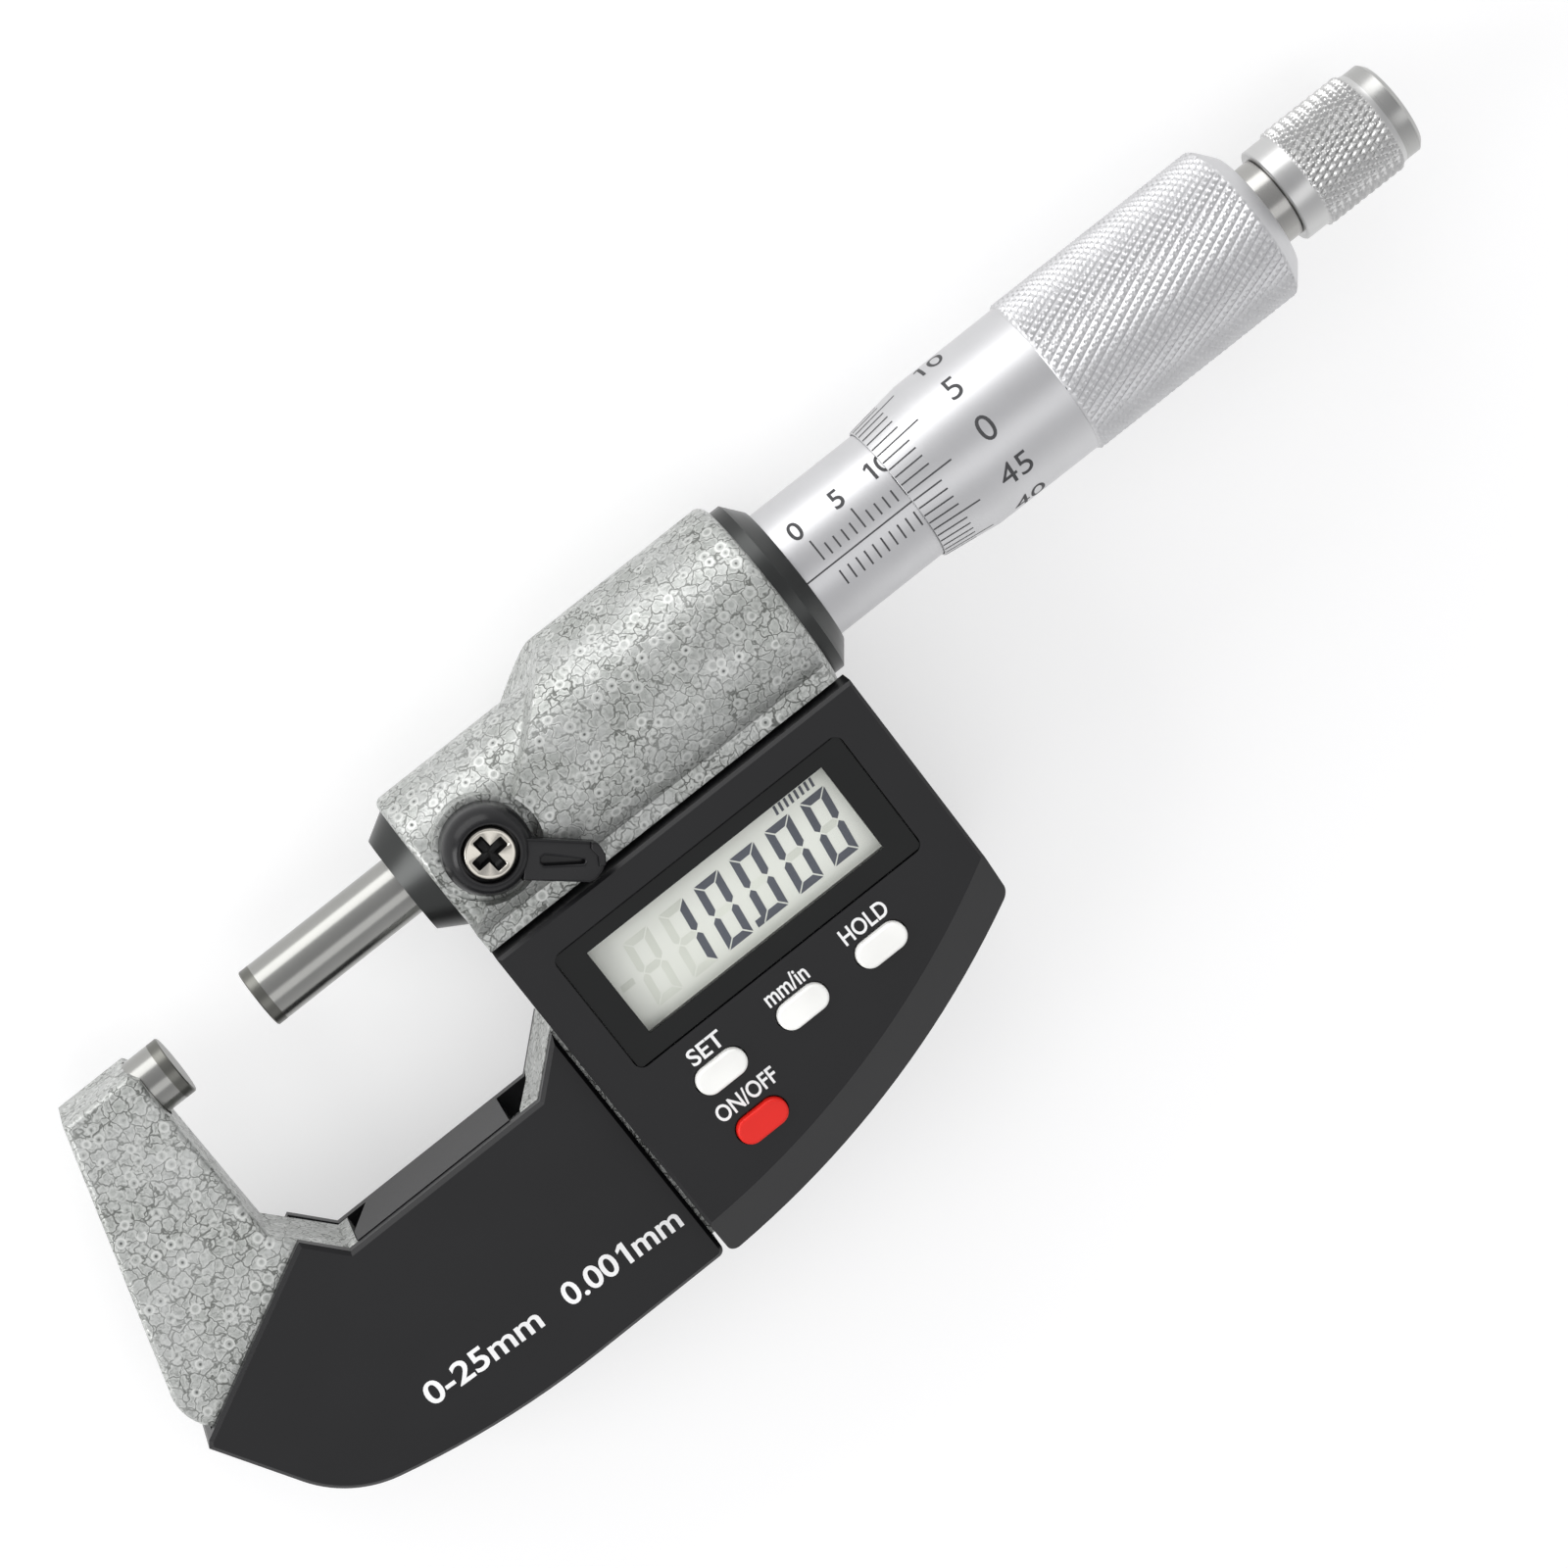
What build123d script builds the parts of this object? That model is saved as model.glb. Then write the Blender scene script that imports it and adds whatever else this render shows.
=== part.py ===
"""A digital outside micrometer, modelled piece by piece.

Sizes are in millimetres. X runs along the measuring axis, from the anvil's face to the ratchet. Y lies in
the plane of the frame, from the display towards the barrel. Z is square to the display and points out of it.
The origin is the centre of the anvil's measuring face, and the instrument lies on its back.
"""

import os
from math import cos, pi, radians, sin, tan

from build123d import *

os.makedirs("parts", exist_ok=True)

# Measuring line
opening = 10.0
measuring_range = 25.0
measuring_diameter = 6.35
carbide_thickness = 1.15
carbide_edge = 0.12
running_clearance = 0.03
fit_clearance = 0.02
assembly_clearance = 0.1

# Anvil in the frame's arm
anvil_projection = 3.3
anvil_stem_diameter = 5.0
anvil_depth = 6.0
anvil_recess_depth = 0.8
anvil_recess_clearance = 0.35

# Frame plate: arm, bow and leg
plate_thickness = 9.0
plate_edge_radius = 0.7
arm_top = 2.9
arm_top_left = -11.7
arm_corner_width = 0.7
arm_corner_drop = 1.0
arm_heel_offset = (-1.05, 5.83)
arm_bulge_offset = (-1.4, 2.73)
arm_face_depth = 17.8
throat_depth = 23.7
floor_left = 1.8
floor_right = 25.0
right_slope_angle = 42.8
notch_left = 2.9
notch_depth = 2.6
notch_slant = 1.8

# Bow's lower outline, a flat, a long sweep and a tight heel
bow_bottom = -47.5
sweep_start = 14.3
sweep_radius = 92.4
sweep_angle = 14.1
heel_radius = 12.1
heel_angle = 60.5
heel_flat = 9.7

# Barrel and encoder swelling
barrel_start = 30.3
barrel_radius = 8.0
barrel_edge_radius = 0.8
swelling_radius = 11.0
swelling_end = 72.65
swelling_edge_radius = 1.0
ramp_top = 52.0
ramp_angle = 38.4
web_half_width = 8.8
web_top = -6.5
web_bottom = -8.4
web_end = 72.0
chamber_start = 52.0
chamber_radius = 8.6

# Insulating covers over the bow
cover_thickness = 1.5
cover_wall = 1.6
cover_edge = 0.4
cover_reveal = 0.1
cover_corner_offset = (0.47, 0.65)
cover_top_end_depth = 19.9
cover_corner_radius = 0.8
lip_left = 5.4
lip_middle = 3.6
lip_slant_height = 1.6
lip_right = 21.5
lip_thickness = 1.5
post_radius = 2.3
post_length = 3.2
cover_post_places = [(-11.5, -34.5), (6.0, -37.5), (24.0, -37.5)]
cover_screw_radius = 0.95
cover_screw_head_radius = 1.9
cover_screw_head_height = 0.9

# Electronics case, two shells round the frame's leg
case_left = 30.35
case_right = 73.0
case_top = -8.8
case_front = 10.8
case_back = 11.0
case_wall = 1.9
case_sweep_middle = 27.9
case_bottom = -47.55
case_sweep_radius = 95.0
case_left_corner_radius = 1.0
case_right_corner_radius = 1.6
case_face_edge = 0.35
bevel_width = 5.0
bevel_drop = 3.8
back_edge = 0.9
saddle_gap = 0.35
leg_clearance = 0.35
bow_passage_clearance = 0.15
cover_gap = 0.45

# Display
recess_left = 34.35
recess_right = 68.95
recess_top = -12.0
recess_bottom = -26.2
recess_corner_radius = 1.0
recess_depth = 1.2
lens_thickness = 1.0
window_left = 37.4
window_right = 65.85
window_top = -14.05
window_bottom = -24.1
lcd_margin = 1.2
lcd_thickness = 1.8
lcd_connector_width = 1.0

# Circuit board
board_thickness = 1.0
board_height = 5.1
board_edge_clearance = 1.8
board_boss_radius = 1.7
board_screw_radius = 0.6
board_screw_head_radius = 1.2
board_screw_head_height = 0.5
board_screw_places = [(34.4, -17.5), (69.1, -17.5), (46.5, -40.2), (55.3, -37.8)]
board_screw_bite = 1.4

# Push buttons
button_length = 5.6
button_width = 2.8
button_proud = 0.8
button_edge = 0.3
button_flange = 0.8
button_flange_thickness = 0.8
button_travel = 0.5
button_clearance = 0.15
set_button_place = (40.45, -31.1)
unit_button_place = (50.4, -31.1)
hold_button_place = (59.95, -31.15)
power_button_place = (40.6, -37.55)
pad_sheet_thickness = 0.4
pad_dome_height = 0.35
pad_margin = 1.2

# Case screws, from the back through the leg
case_screw_places = [(34.9, -27.6), (68.6, -28.4), (35.2, -42.6), (64.5, -35.4)]
case_boss_radius = 2.2
case_screw_radius = 0.9
case_screw_head_radius = 1.8
case_screw_head_height = 1.2
case_screw_sink = 0.6
screw_hole_clearance = 0.15
screw_bite = 2.5
cross_width = 0.45
cross_length = 2.25
cross_depth = 0.5

# Coin cell and its turning lid
battery_place = (50.5, -26.0)
battery_radius = 10.0
battery_height = 3.2
battery_clearance = 0.2
well_wall = 1.2
lid_radius = 11.6
lid_thickness = 1.3
lid_sink = 0.1
lid_clearance = 0.15
lid_tab_length = 1.4
lid_tab_width = 5.0
lid_tab_thickness = 0.7
lid_slot_width = 1.6
lid_slot_length = 12.0
lid_slot_depth = 0.7
contact_thickness = 0.25
contact_width = 4.0
contact_length = 14.0
lid_turn = 60.0
lead_radius = 0.35
lead_spacing = 2.4
lead_window_radius = 3.0

# Encoder
stator_radius = 8.4
stator_start = 59.9
stator_thickness = 1.2
rotor_radius = 7.6
rotor_thickness = 0.8
rotor_gap = 0.25
rotor_hub_radius = 4.6
rotor_hub_start = 53.0
clip_thickness = 0.6
clip_height = 0.9
clip_groove_depth = 0.5
key_radius = 0.6
key_place = 56.0
key_groove_depth = 0.9
key_side_clearance = 0.06
spring_washer_radius = 5.6
spring_washer_bore = 3.6
cable_width = 5.0
cable_thickness = 0.3
cable_bend_depth = 15.5
cable_rise = 3.0
cable_landing = 3.0
cable_slot_clearance = 0.6

# Threaded sleeve, graduated sleeve and rings
collar_nose_radius = 5.35
collar_root_radius = 6.93
collar_length = 2.7
collar_spigot_radius = 5.6
collar_spigot_length = 3.0
ring_radius = 9.8
ring_land = 1.25
ring_end_radius = 7.8
ring_length = 2.85
inner_sleeve_radius = 6.2
inner_sleeve_flange_start = 66.0
inner_sleeve_bore_radius = 3.7
inner_sleeve_end = 109.0
nut_length = 12.0
thread_radius = 3.08
thread_clearance = 0.04
sleeve_radius = 7.2
sleeve_end = 105.0
slit_width = 0.6
adjusting_nut_radius = 6.75
adjusting_nut_length = 3.6
adjusting_nut_thread_radius = 5.3
adjusting_nut_start = 105.4

# Spindle behind the measuring diameter
spindle_body_end = 78.0
thread_relief_radius = 2.8
thread_relief_length = 2.0
thread_end = 119.5
seat_front_radius = 5.0
seat_back_radius = 4.4
seat_length = 8.0

# Thimble
scale_zero = 78.25
thimble_edge_radius = 7.5
thimble_bore_radius = 7.3
thimble_bevel_end = 94.4
thimble_cone_radius = 8.35
thimble_plain_radius = 8.4
knurl_start = 106.3
knurl_radius = 8.73
knurl_end = 130.9
knurl_edge = 0.45
thimble_end = 132.5
thimble_end_radius = 6.6
thimble_cavity_end = 121.0

# Ratchet
neck_radius = 4.4
neck_recess_depth = 1.5
neck_recess_radius = 5.0
knob_start = 134.9
knob_ring_radius = 5.25
knob_ring_end = 137.4
knob_radius = 5.6
knob_knurl_end = 146.8
knob_land_radius = 5.15
knob_land_start = 147.7
knob_end = 149.4
knob_end_radius = 4.67
knob_end_wall = 2.4
ratchet_stud_radius = 2.0
ratchet_shaft_radius = 1.9
ratchet_shaft_clearance = 0.05
ratchet_disc_radius = 3.8
ratchet_disc_thickness = 1.2
ratchet_teeth = 16
tooth_height = 0.6
crest_gap = 0.1
spring_wire = 0.5
spring_turns = 4
ratchet_screw_head_radius = 2.6
ratchet_screw_head_height = 1.1
ratchet_screw_radius = 0.8
ratchet_screw_length = 5.0

# Spindle lock
lock_place = (36.1, 0.15)
boss_radius = 4.9
boss_top = 8.3
spotface_radius = 5.5
spotface_height = 7.7
hub_radius = 4.4
hub_gap = 0.15
hub_shoulder = 11.0
hub_top = 12.9
hub_top_radius = 3.1
hub_bore_radius = 2.85
lock_stud_radius = 2.45
lock_stud_clearance = 0.05
lock_stud_top = 10.6
lock_screw_seat = 11.4
lock_screw_radius = 1.0
lock_screw_head_radius = 2.6
lock_screw_head_height = 1.25
lock_screw_edge = 0.4
lock_cross_width = 0.9
lock_cross_length = 3.4
lock_cross_depth = 1.0
lock_cross_taper = 12.0
lock_pad_thickness = 0.6
lock_pad_gap = 0.1
lever_angle = -41.0
lever_offset = -0.5
lever_reach = 10.7
lever_width = 4.1
lever_bottom = 11.3
lever_thickness = 1.1
lever_corner_radius = 1.2
lever_slot_start = 5.0
lever_slot_end = 9.1
lever_slot_width = 0.55
lever_slot_depth = 0.6

# Sizes that follow from the ones above
measuring_radius = measuring_diameter / 2
guide_radius = measuring_radius + running_clearance
half_plate = plate_thickness / 2
arm_face = -anvil_projection
travel_in = opening
travel_out = measuring_range - opening
bow_inset = cover_wall + bow_passage_clearance
cover_face = half_plate + cover_thickness
case_inner_face = case_front - case_wall
leg_inset = case_wall + leg_clearance
thimble_start = scale_zero + opening
board_face = board_height + board_thickness
seat_start = thimble_cavity_end
seat_end = seat_start + seat_length
lock_axis = Axis((*lock_place, 0), (0, 0, 1))
case_sweep_centre = (case_sweep_middle, case_bottom + case_sweep_radius)
case_axis = Axis((*case_sweep_centre, 0), (0, 0, 1))


def turning_profile(*corners, rounded=(), radius=0.0):
    """Face enclosed by (x, radius) corners, to be turned about the measuring axis."""
    with BuildSketch() as face:
        with BuildLine():
            Polyline(*corners, close=True)
        make_face()
        if rounded:
            fillet([face.vertices().sort_by_distance((*corner, 0))[0] for corner in rounded], radius)
    return face.sketch


def upright_profile(place, *corners):
    """Face enclosed by (distance, height) corners on the plane that stands on a place and faces -Y."""
    with BuildSketch(Plane(origin=(*place, 0), x_dir=(1, 0, 0), z_dir=(0, -1, 0))) as face:
        with BuildLine():
            Polyline(*corners, close=True)
        make_face()
    return face.sketch


def left_slope_x(y):
    """X of the throat's left slope at a height y."""
    return arm_face + (floor_left - arm_face) * (-arm_face_depth - y) / (throat_depth - arm_face_depth)


def right_slope_y(x):
    """Y of the throat's right slope at x."""
    return -throat_depth + (x - floor_right) * tan(radians(right_slope_angle))


def heel_centre():
    """Centre of the tight arc at the bow's heel, tangent to the long sweep."""
    reach = sweep_radius - heel_radius
    return (
        sweep_start - reach * sin(radians(sweep_angle)),
        bow_bottom + sweep_radius - reach * cos(radians(sweep_angle)),
    )


def bow_tip(inset):
    """End of the bow's lower outline, at the arm, moved inwards by an inset."""
    across = heel_centre()[0] - (heel_radius - inset) * sin(radians(heel_angle))
    down = heel_centre()[1] - (heel_radius - inset) * cos(radians(heel_angle))
    return (across - heel_flat * cos(radians(heel_angle)), down + heel_flat * sin(radians(heel_angle)))


def beside(place, step):
    """A flat place moved by a step."""
    return (place[0] + step[0], place[1] + step[1])


def bow_edge(start, inset):
    """The bow's lower outline, from x = start round to the arm, moved inwards by an inset."""
    with BuildLine() as edge:
        flat = Line((start, bow_bottom + inset), (sweep_start, bow_bottom + inset))
        sweep = CenterArc(
            (sweep_start, bow_bottom + sweep_radius), sweep_radius - inset, -90, -sweep_angle
        )
        heel = CenterArc(heel_centre(), heel_radius - inset, -90 - sweep_angle, sweep_angle - heel_angle)
        Line(heel @ 1, bow_tip(inset))
    return edge.line


def case_outline(inset):
    """The electronics case seen from the front, moved inwards by an inset."""
    with BuildSketch() as face:
        with BuildLine():
            Polyline(
                (case_left + inset, case_top - inset),
                (case_right - inset, case_top - inset),
                (case_right - inset, case_bottom),
                (case_left + inset, case_bottom),
                close=True,
            )
        make_face()
        with Locations(case_sweep_centre):
            Circle(case_sweep_radius - inset, mode=Mode.INTERSECT)
        lower = face.vertices().sort_by(Axis.Y)[:2].sort_by(Axis.X)
        fillet(lower[0], case_left_corner_radius)
        fillet(face.vertices().sort_by_distance(lower[1])[0], case_right_corner_radius)
    return face.sketch


def bow_outline(inset):
    """The flat plate of the frame's arm and bow, reaching inset past the side of the leg."""
    reach = case_left + leg_inset + inset
    with BuildSketch() as face:
        with BuildLine():
            throat = Polyline(
                (reach, bow_bottom + bow_inset),
                (reach, right_slope_y(reach)),
                (floor_right, -throat_depth),
                (floor_left, -throat_depth),
                (arm_face, -arm_face_depth),
                (arm_face, arm_top - arm_corner_drop),
                (arm_face - arm_corner_width, arm_top),
                (arm_top_left, arm_top),
                beside(bow_tip(bow_inset), arm_heel_offset),
            )
            bulge = beside(bow_tip(bow_inset), arm_bulge_offset)
            ThreePointArc(throat @ 1, bulge, bow_tip(bow_inset))
            add(bow_edge(reach, bow_inset))
        make_face()
    return face.sketch


def leg_outline():
    """The flat plate of the frame's leg, which the case encloses, up to the web."""
    with BuildSketch() as face:
        add(case_outline(leg_inset))
        with BuildLine():
            Polyline(
                (case_left + leg_inset, case_top - leg_inset),
                (case_left + leg_inset, web_bottom),
                (case_right - leg_inset, web_bottom),
                (case_right - leg_inset, case_top - leg_inset),
                close=True,
            )
        make_face()
    return face.sketch


def cover_outline():
    """An insulating cover seen from the front."""
    reveal_floor = -throat_depth - cover_reveal
    cover_right = case_left - cover_gap
    with BuildSketch() as face:
        with BuildLine():
            top = Polyline(
                (cover_right, bow_bottom),
                (cover_right, right_slope_y(cover_right) - cover_reveal),
                (floor_right, reveal_floor),
                (floor_left + cover_reveal, reveal_floor),
                (left_slope_x(-cover_top_end_depth) + cover_reveal, -cover_top_end_depth),
                beside(bow_tip(0), cover_corner_offset),
                bow_tip(0),
            )
            add(bow_edge(cover_right, 0))
        make_face()
        fillet(face.vertices().sort_by_distance((*(top @ 0), 0))[0], cover_corner_radius)
    return face.sketch


def bevel_profile(inset):
    """Wedge outside the bevel along the case's curved edge, moved inwards by an inset."""
    over = case_sweep_radius - inset + bevel_width
    return upright_profile(
        case_sweep_centre,
        (case_sweep_radius - inset - bevel_width, case_front - inset),
        (over, case_front - inset - 2 * bevel_drop),
        (over, case_front + bevel_drop),
        (case_sweep_radius - inset - bevel_width, case_front + bevel_drop),
    )


def saddle_profile():
    """Half section of the space that the barrel's underside needs in the case."""
    radius = swelling_radius + saddle_gap
    return turning_profile(
        (case_left - case_wall, 0), (case_left - case_wall, radius), (case_right + case_wall, radius),
        (case_right + case_wall, 0),
    )


# Frame: one casting with the arm, bow, leg, barrel and encoder swelling
with BuildPart() as frame:
    extrude(bow_outline(plate_edge_radius), amount=half_plate, both=True)
    rims = frame.edges().group_by(Axis.Z)[0] + frame.edges().group_by(Axis.Z)[-1]
    fillet(rims.filter_by(lambda rim: rim.center().X < floor_right + arm_corner_width), plate_edge_radius)
    extrude(leg_outline(), amount=half_plate, both=True)

    # Notch in the bow's floor that the covers' lips close
    with BuildSketch(Plane.XZ.offset(throat_depth - plate_edge_radius)):
        with BuildLine():
            Polyline(
                (notch_left, -plate_thickness),
                (floor_right + notch_slant, -plate_thickness),
                (floor_right - 2 * notch_slant, plate_thickness),
                (notch_left, plate_thickness),
                close=True,
            )
        make_face()
    extrude(amount=plate_edge_radius + notch_depth, mode=Mode.SUBTRACT)

    # Encoder swelling, cut back obliquely to the barrel
    revolve(
        turning_profile(
            (barrel_start, 0),
            (barrel_start, swelling_radius),
            (swelling_end, swelling_radius),
            (swelling_end, 0),
            rounded=[(swelling_end, swelling_radius)],
            radius=swelling_edge_radius,
        ),
        axis=Axis.X,
    )
    with BuildSketch():
        with BuildLine():
            clear = swelling_radius + barrel_edge_radius
            run = ramp_top - barrel_start + barrel_edge_radius
            Polyline(
                (ramp_top + (clear - swelling_radius) / tan(radians(ramp_angle)), clear),
                (barrel_start - barrel_edge_radius, clear),
                (barrel_start - barrel_edge_radius, swelling_radius - run * tan(radians(ramp_angle))),
                close=True,
            )
        make_face()
    extrude(amount=swelling_radius, both=True, mode=Mode.SUBTRACT)
    revolve(
        turning_profile(
            (barrel_start, 0),
            (barrel_start, barrel_radius),
            (chamber_start, barrel_radius),
            (chamber_start, 0),
            rounded=[(barrel_start, barrel_radius)],
            radius=barrel_edge_radius,
        ),
        axis=Axis.X,
    )

    # Flat sides under the barrel and the web that bears on the leg
    with BuildSketch(Plane.YZ.offset(barrel_start + barrel_edge_radius)):
        with BuildLine():
            Polyline(
                (0, barrel_radius),
                (web_bottom, barrel_radius),
                (web_bottom, -barrel_radius),
                (0, -barrel_radius),
                close=True,
            )
        make_face()
    extrude(amount=ramp_top - barrel_start - 2 * barrel_edge_radius - swelling_edge_radius)
    with BuildSketch(Plane.YZ.offset(barrel_start)):
        with BuildLine():
            Polyline(
                (web_top, web_half_width), (web_bottom, web_half_width),
                (web_bottom, -web_half_width), (web_top, -web_half_width),
                close=True,
            )
        make_face()
    extrude(amount=web_end - barrel_start)

    # Spot face and raised boss for the spindle lock
    with BuildSketch(Plane.XY.offset(spotface_height)):
        with Locations(lock_place):
            Circle(spotface_radius)
    extrude(amount=swelling_radius, mode=Mode.SUBTRACT)
    with BuildSketch(Plane.XY.offset(measuring_radius + lock_pad_thickness)):
        with Locations(lock_place):
            Circle(boss_radius)
    extrude(amount=boss_top - measuring_radius - lock_pad_thickness)

    # Bores: collar seat, spindle guide, encoder chamber, lock thread and anvil seat
    revolve(
        turning_profile(
            (barrel_start - collar_length, 0),
            (barrel_start - collar_length, collar_spigot_radius + fit_clearance),
            (barrel_start + collar_spigot_length + fit_clearance, collar_spigot_radius + fit_clearance),
            (barrel_start + collar_spigot_length + fit_clearance, guide_radius),
            (chamber_start, guide_radius),
            (chamber_start, chamber_radius),
            (swelling_end + ring_length, chamber_radius),
            (swelling_end + ring_length, 0),
        ),
        axis=Axis.X,
        mode=Mode.SUBTRACT,
    )
    with BuildSketch():
        with Locations(lock_place):
            Circle(lock_stud_radius + lock_stud_clearance)
    extrude(amount=boss_top + hub_gap, mode=Mode.SUBTRACT)
    revolve(
        turning_profile(
            (arm_face - anvil_depth - fit_clearance, 0),
            (arm_face - anvil_depth - fit_clearance, anvil_stem_diameter / 2 + fit_clearance),
            (arm_face - anvil_recess_depth, anvil_stem_diameter / 2 + fit_clearance),
            (arm_face - anvil_recess_depth, measuring_radius + anvil_recess_clearance),
            (0, measuring_radius + anvil_recess_clearance),
            (0, 0),
        ),
        axis=Axis.X,
        mode=Mode.SUBTRACT,
    )

    # Holes for the covers' posts and the case screws, and the slot for the encoder's cable
    with BuildSketch(Plane.XY.offset(-plate_thickness)):
        with Locations(*cover_post_places):
            Circle(post_radius + assembly_clearance)
        with Locations(*case_screw_places):
            Circle(case_screw_radius + screw_hole_clearance)
        with Locations(battery_place):
            Circle(lead_window_radius)
    extrude(amount=2 * plate_thickness, mode=Mode.SUBTRACT)
    cable_middle = stator_start + stator_thickness / 2
    cable_low = -cable_bend_depth - cable_rise - cable_slot_clearance
    with BuildSketch(Plane.XY.offset(-cable_slot_clearance)):
        with BuildLine():
            left = cable_middle - cable_width / 2 - cable_slot_clearance
            right = cable_middle + cable_width / 2 + cable_slot_clearance
            Polyline((left, 0), (right, 0), (right, cable_low), (left, cable_low), close=True)
        make_face()
    extrude(amount=half_plate + cable_slot_clearance, mode=Mode.SUBTRACT)
frame.part.label = "frame"
export_step(frame.part, "parts/frame.step")


# Anvil, a stepped steel pin pressed into the arm
with BuildPart() as anvil:
    revolve(
        turning_profile(
            (arm_face - anvil_depth, 0),
            (arm_face - anvil_depth, anvil_stem_diameter / 2),
            (arm_face - anvil_recess_depth, anvil_stem_diameter / 2),
            (arm_face - anvil_recess_depth, measuring_radius),
            (-carbide_thickness, measuring_radius),
            (-carbide_thickness, 0),
        ),
        axis=Axis.X,
    )
anvil.part.label = "anvil"
export_step(anvil.part, "parts/anvil.step")

# Carbide disc brazed to the anvil, its outer face the origin
with BuildPart() as anvil_tip:
    revolve(
        turning_profile(
            (-carbide_thickness, 0),
            (-carbide_thickness, measuring_radius),
            (-carbide_edge, measuring_radius),
            (0, measuring_radius - carbide_edge),
            (0, 0),
        ),
        axis=Axis.X,
    )
anvil_tip.part.label = "anvil_tip"
export_step(anvil_tip.part, "parts/anvil_tip.step")

# Spindle: ground bar with a key groove, a fine thread and a taper that carries the thimble
with BuildPart() as spindle:
    revolve(
        turning_profile(
            (opening + carbide_thickness, 0),
            (opening + carbide_thickness, measuring_radius),
            (spindle_body_end, measuring_radius),
            (spindle_body_end, thread_relief_radius),
            (spindle_body_end + thread_relief_length, thread_relief_radius),
            (spindle_body_end + thread_relief_length, thread_radius),
            (thread_end, thread_radius),
            (thread_end, seat_front_radius),
            (seat_start, seat_front_radius),
            (seat_end, seat_back_radius),
            (seat_end, 0),
        ),
        axis=Axis.X,
    )
    with BuildSketch(Plane.XZ.offset(-measuring_radius)):
        with BuildLine():
            side = key_radius + key_side_clearance
            near = key_place - travel_out - side
            far = key_place + travel_in + side
            Polyline((near, -side), (far, -side), (far, side), (near, side), close=True)
        make_face()
    extrude(amount=key_groove_depth, mode=Mode.SUBTRACT)
    revolve(
        turning_profile(
            (seat_start, 0),
            (seat_start, ratchet_stud_radius + fit_clearance),
            (seat_end, ratchet_stud_radius + fit_clearance),
            (seat_end, 0),
        ),
        axis=Axis.X,
        mode=Mode.SUBTRACT,
    )
spindle.part.label = "spindle"
export_step(spindle.part, "parts/spindle.step")

# Carbide disc brazed to the spindle
with BuildPart() as spindle_tip:
    revolve(
        turning_profile(
            (opening, 0),
            (opening, measuring_radius - carbide_edge),
            (opening + carbide_edge, measuring_radius),
            (opening + carbide_thickness, measuring_radius),
            (opening + carbide_thickness, 0),
        ),
        axis=Axis.X,
    )
spindle_tip.part.label = "spindle_tip"
export_step(spindle_tip.part, "parts/spindle_tip.step")

# Conical collar that wipes the spindle where it leaves the barrel
with BuildPart() as front_collar:
    wipe = measuring_radius + 2 * running_clearance
    revolve(
        turning_profile(
            (barrel_start - collar_length, wipe),
            (barrel_start - collar_length, collar_nose_radius),
            (barrel_start, collar_root_radius),
            (barrel_start, collar_spigot_radius),
            (barrel_start + collar_spigot_length, collar_spigot_radius),
            (barrel_start + collar_spigot_length, wipe),
        ),
        axis=Axis.X,
    )
front_collar.part.label = "front_collar"
export_step(front_collar.part, "parts/front_collar.step")

# Encoder rotor: a disc on a hub that the key turns with the spindle
with BuildPart() as encoder_rotor:
    disc_end = stator_start - rotor_gap
    clip_start = stator_start + stator_thickness + assembly_clearance
    clip_end = clip_start + clip_thickness + assembly_clearance
    revolve(
        turning_profile(
            (rotor_hub_start, guide_radius),
            (rotor_hub_start, rotor_hub_radius),
            (disc_end - rotor_thickness, rotor_hub_radius),
            (disc_end - rotor_thickness, rotor_radius),
            (disc_end, rotor_radius),
            (disc_end, rotor_hub_radius),
            (clip_start, rotor_hub_radius),
            (clip_start, rotor_hub_radius - clip_groove_depth),
            (clip_end, rotor_hub_radius - clip_groove_depth),
            (clip_end, rotor_hub_radius),
            (clip_end + clip_thickness, rotor_hub_radius),
            (clip_end + clip_thickness, guide_radius),
        ),
        axis=Axis.X,
    )
    with BuildSketch(Plane.XZ.offset(-rotor_hub_radius)):
        with Locations((key_place, 0)):
            Circle(key_radius + fit_clearance)
    extrude(amount=rotor_hub_radius, mode=Mode.SUBTRACT)
encoder_rotor.part.label = "encoder_rotor"
export_step(encoder_rotor.part, "parts/encoder_rotor.step")

# Key pin pressed through the rotor's hub into the spindle's groove
with BuildPart() as rotor_key:
    key_depth = measuring_radius - key_groove_depth + 2 * running_clearance
    with BuildSketch(Plane.XZ.offset(-rotor_hub_radius)):
        with Locations((key_place, 0)):
            Circle(key_radius)
    extrude(amount=rotor_hub_radius - key_depth)
rotor_key.part.label = "rotor_key"
export_step(rotor_key.part, "parts/rotor_key.step")

# Clip that holds the rotor's hub in the stator
with BuildPart() as rotor_clip:
    clip_bore = rotor_hub_radius - clip_groove_depth + fit_clearance
    clip_middle = clip_start + assembly_clearance / 2
    with BuildSketch(Plane.YZ.offset(clip_middle)):
        Circle(rotor_hub_radius + clip_height)
        Circle(clip_bore, mode=Mode.SUBTRACT)
        with Locations((0, rotor_hub_radius)):
            Rectangle(clip_bore, 2 * clip_bore, mode=Mode.SUBTRACT)
    extrude(amount=clip_thickness)
rotor_clip.part.label = "rotor_clip"
export_step(rotor_clip.part, "parts/rotor_clip.step")

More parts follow.
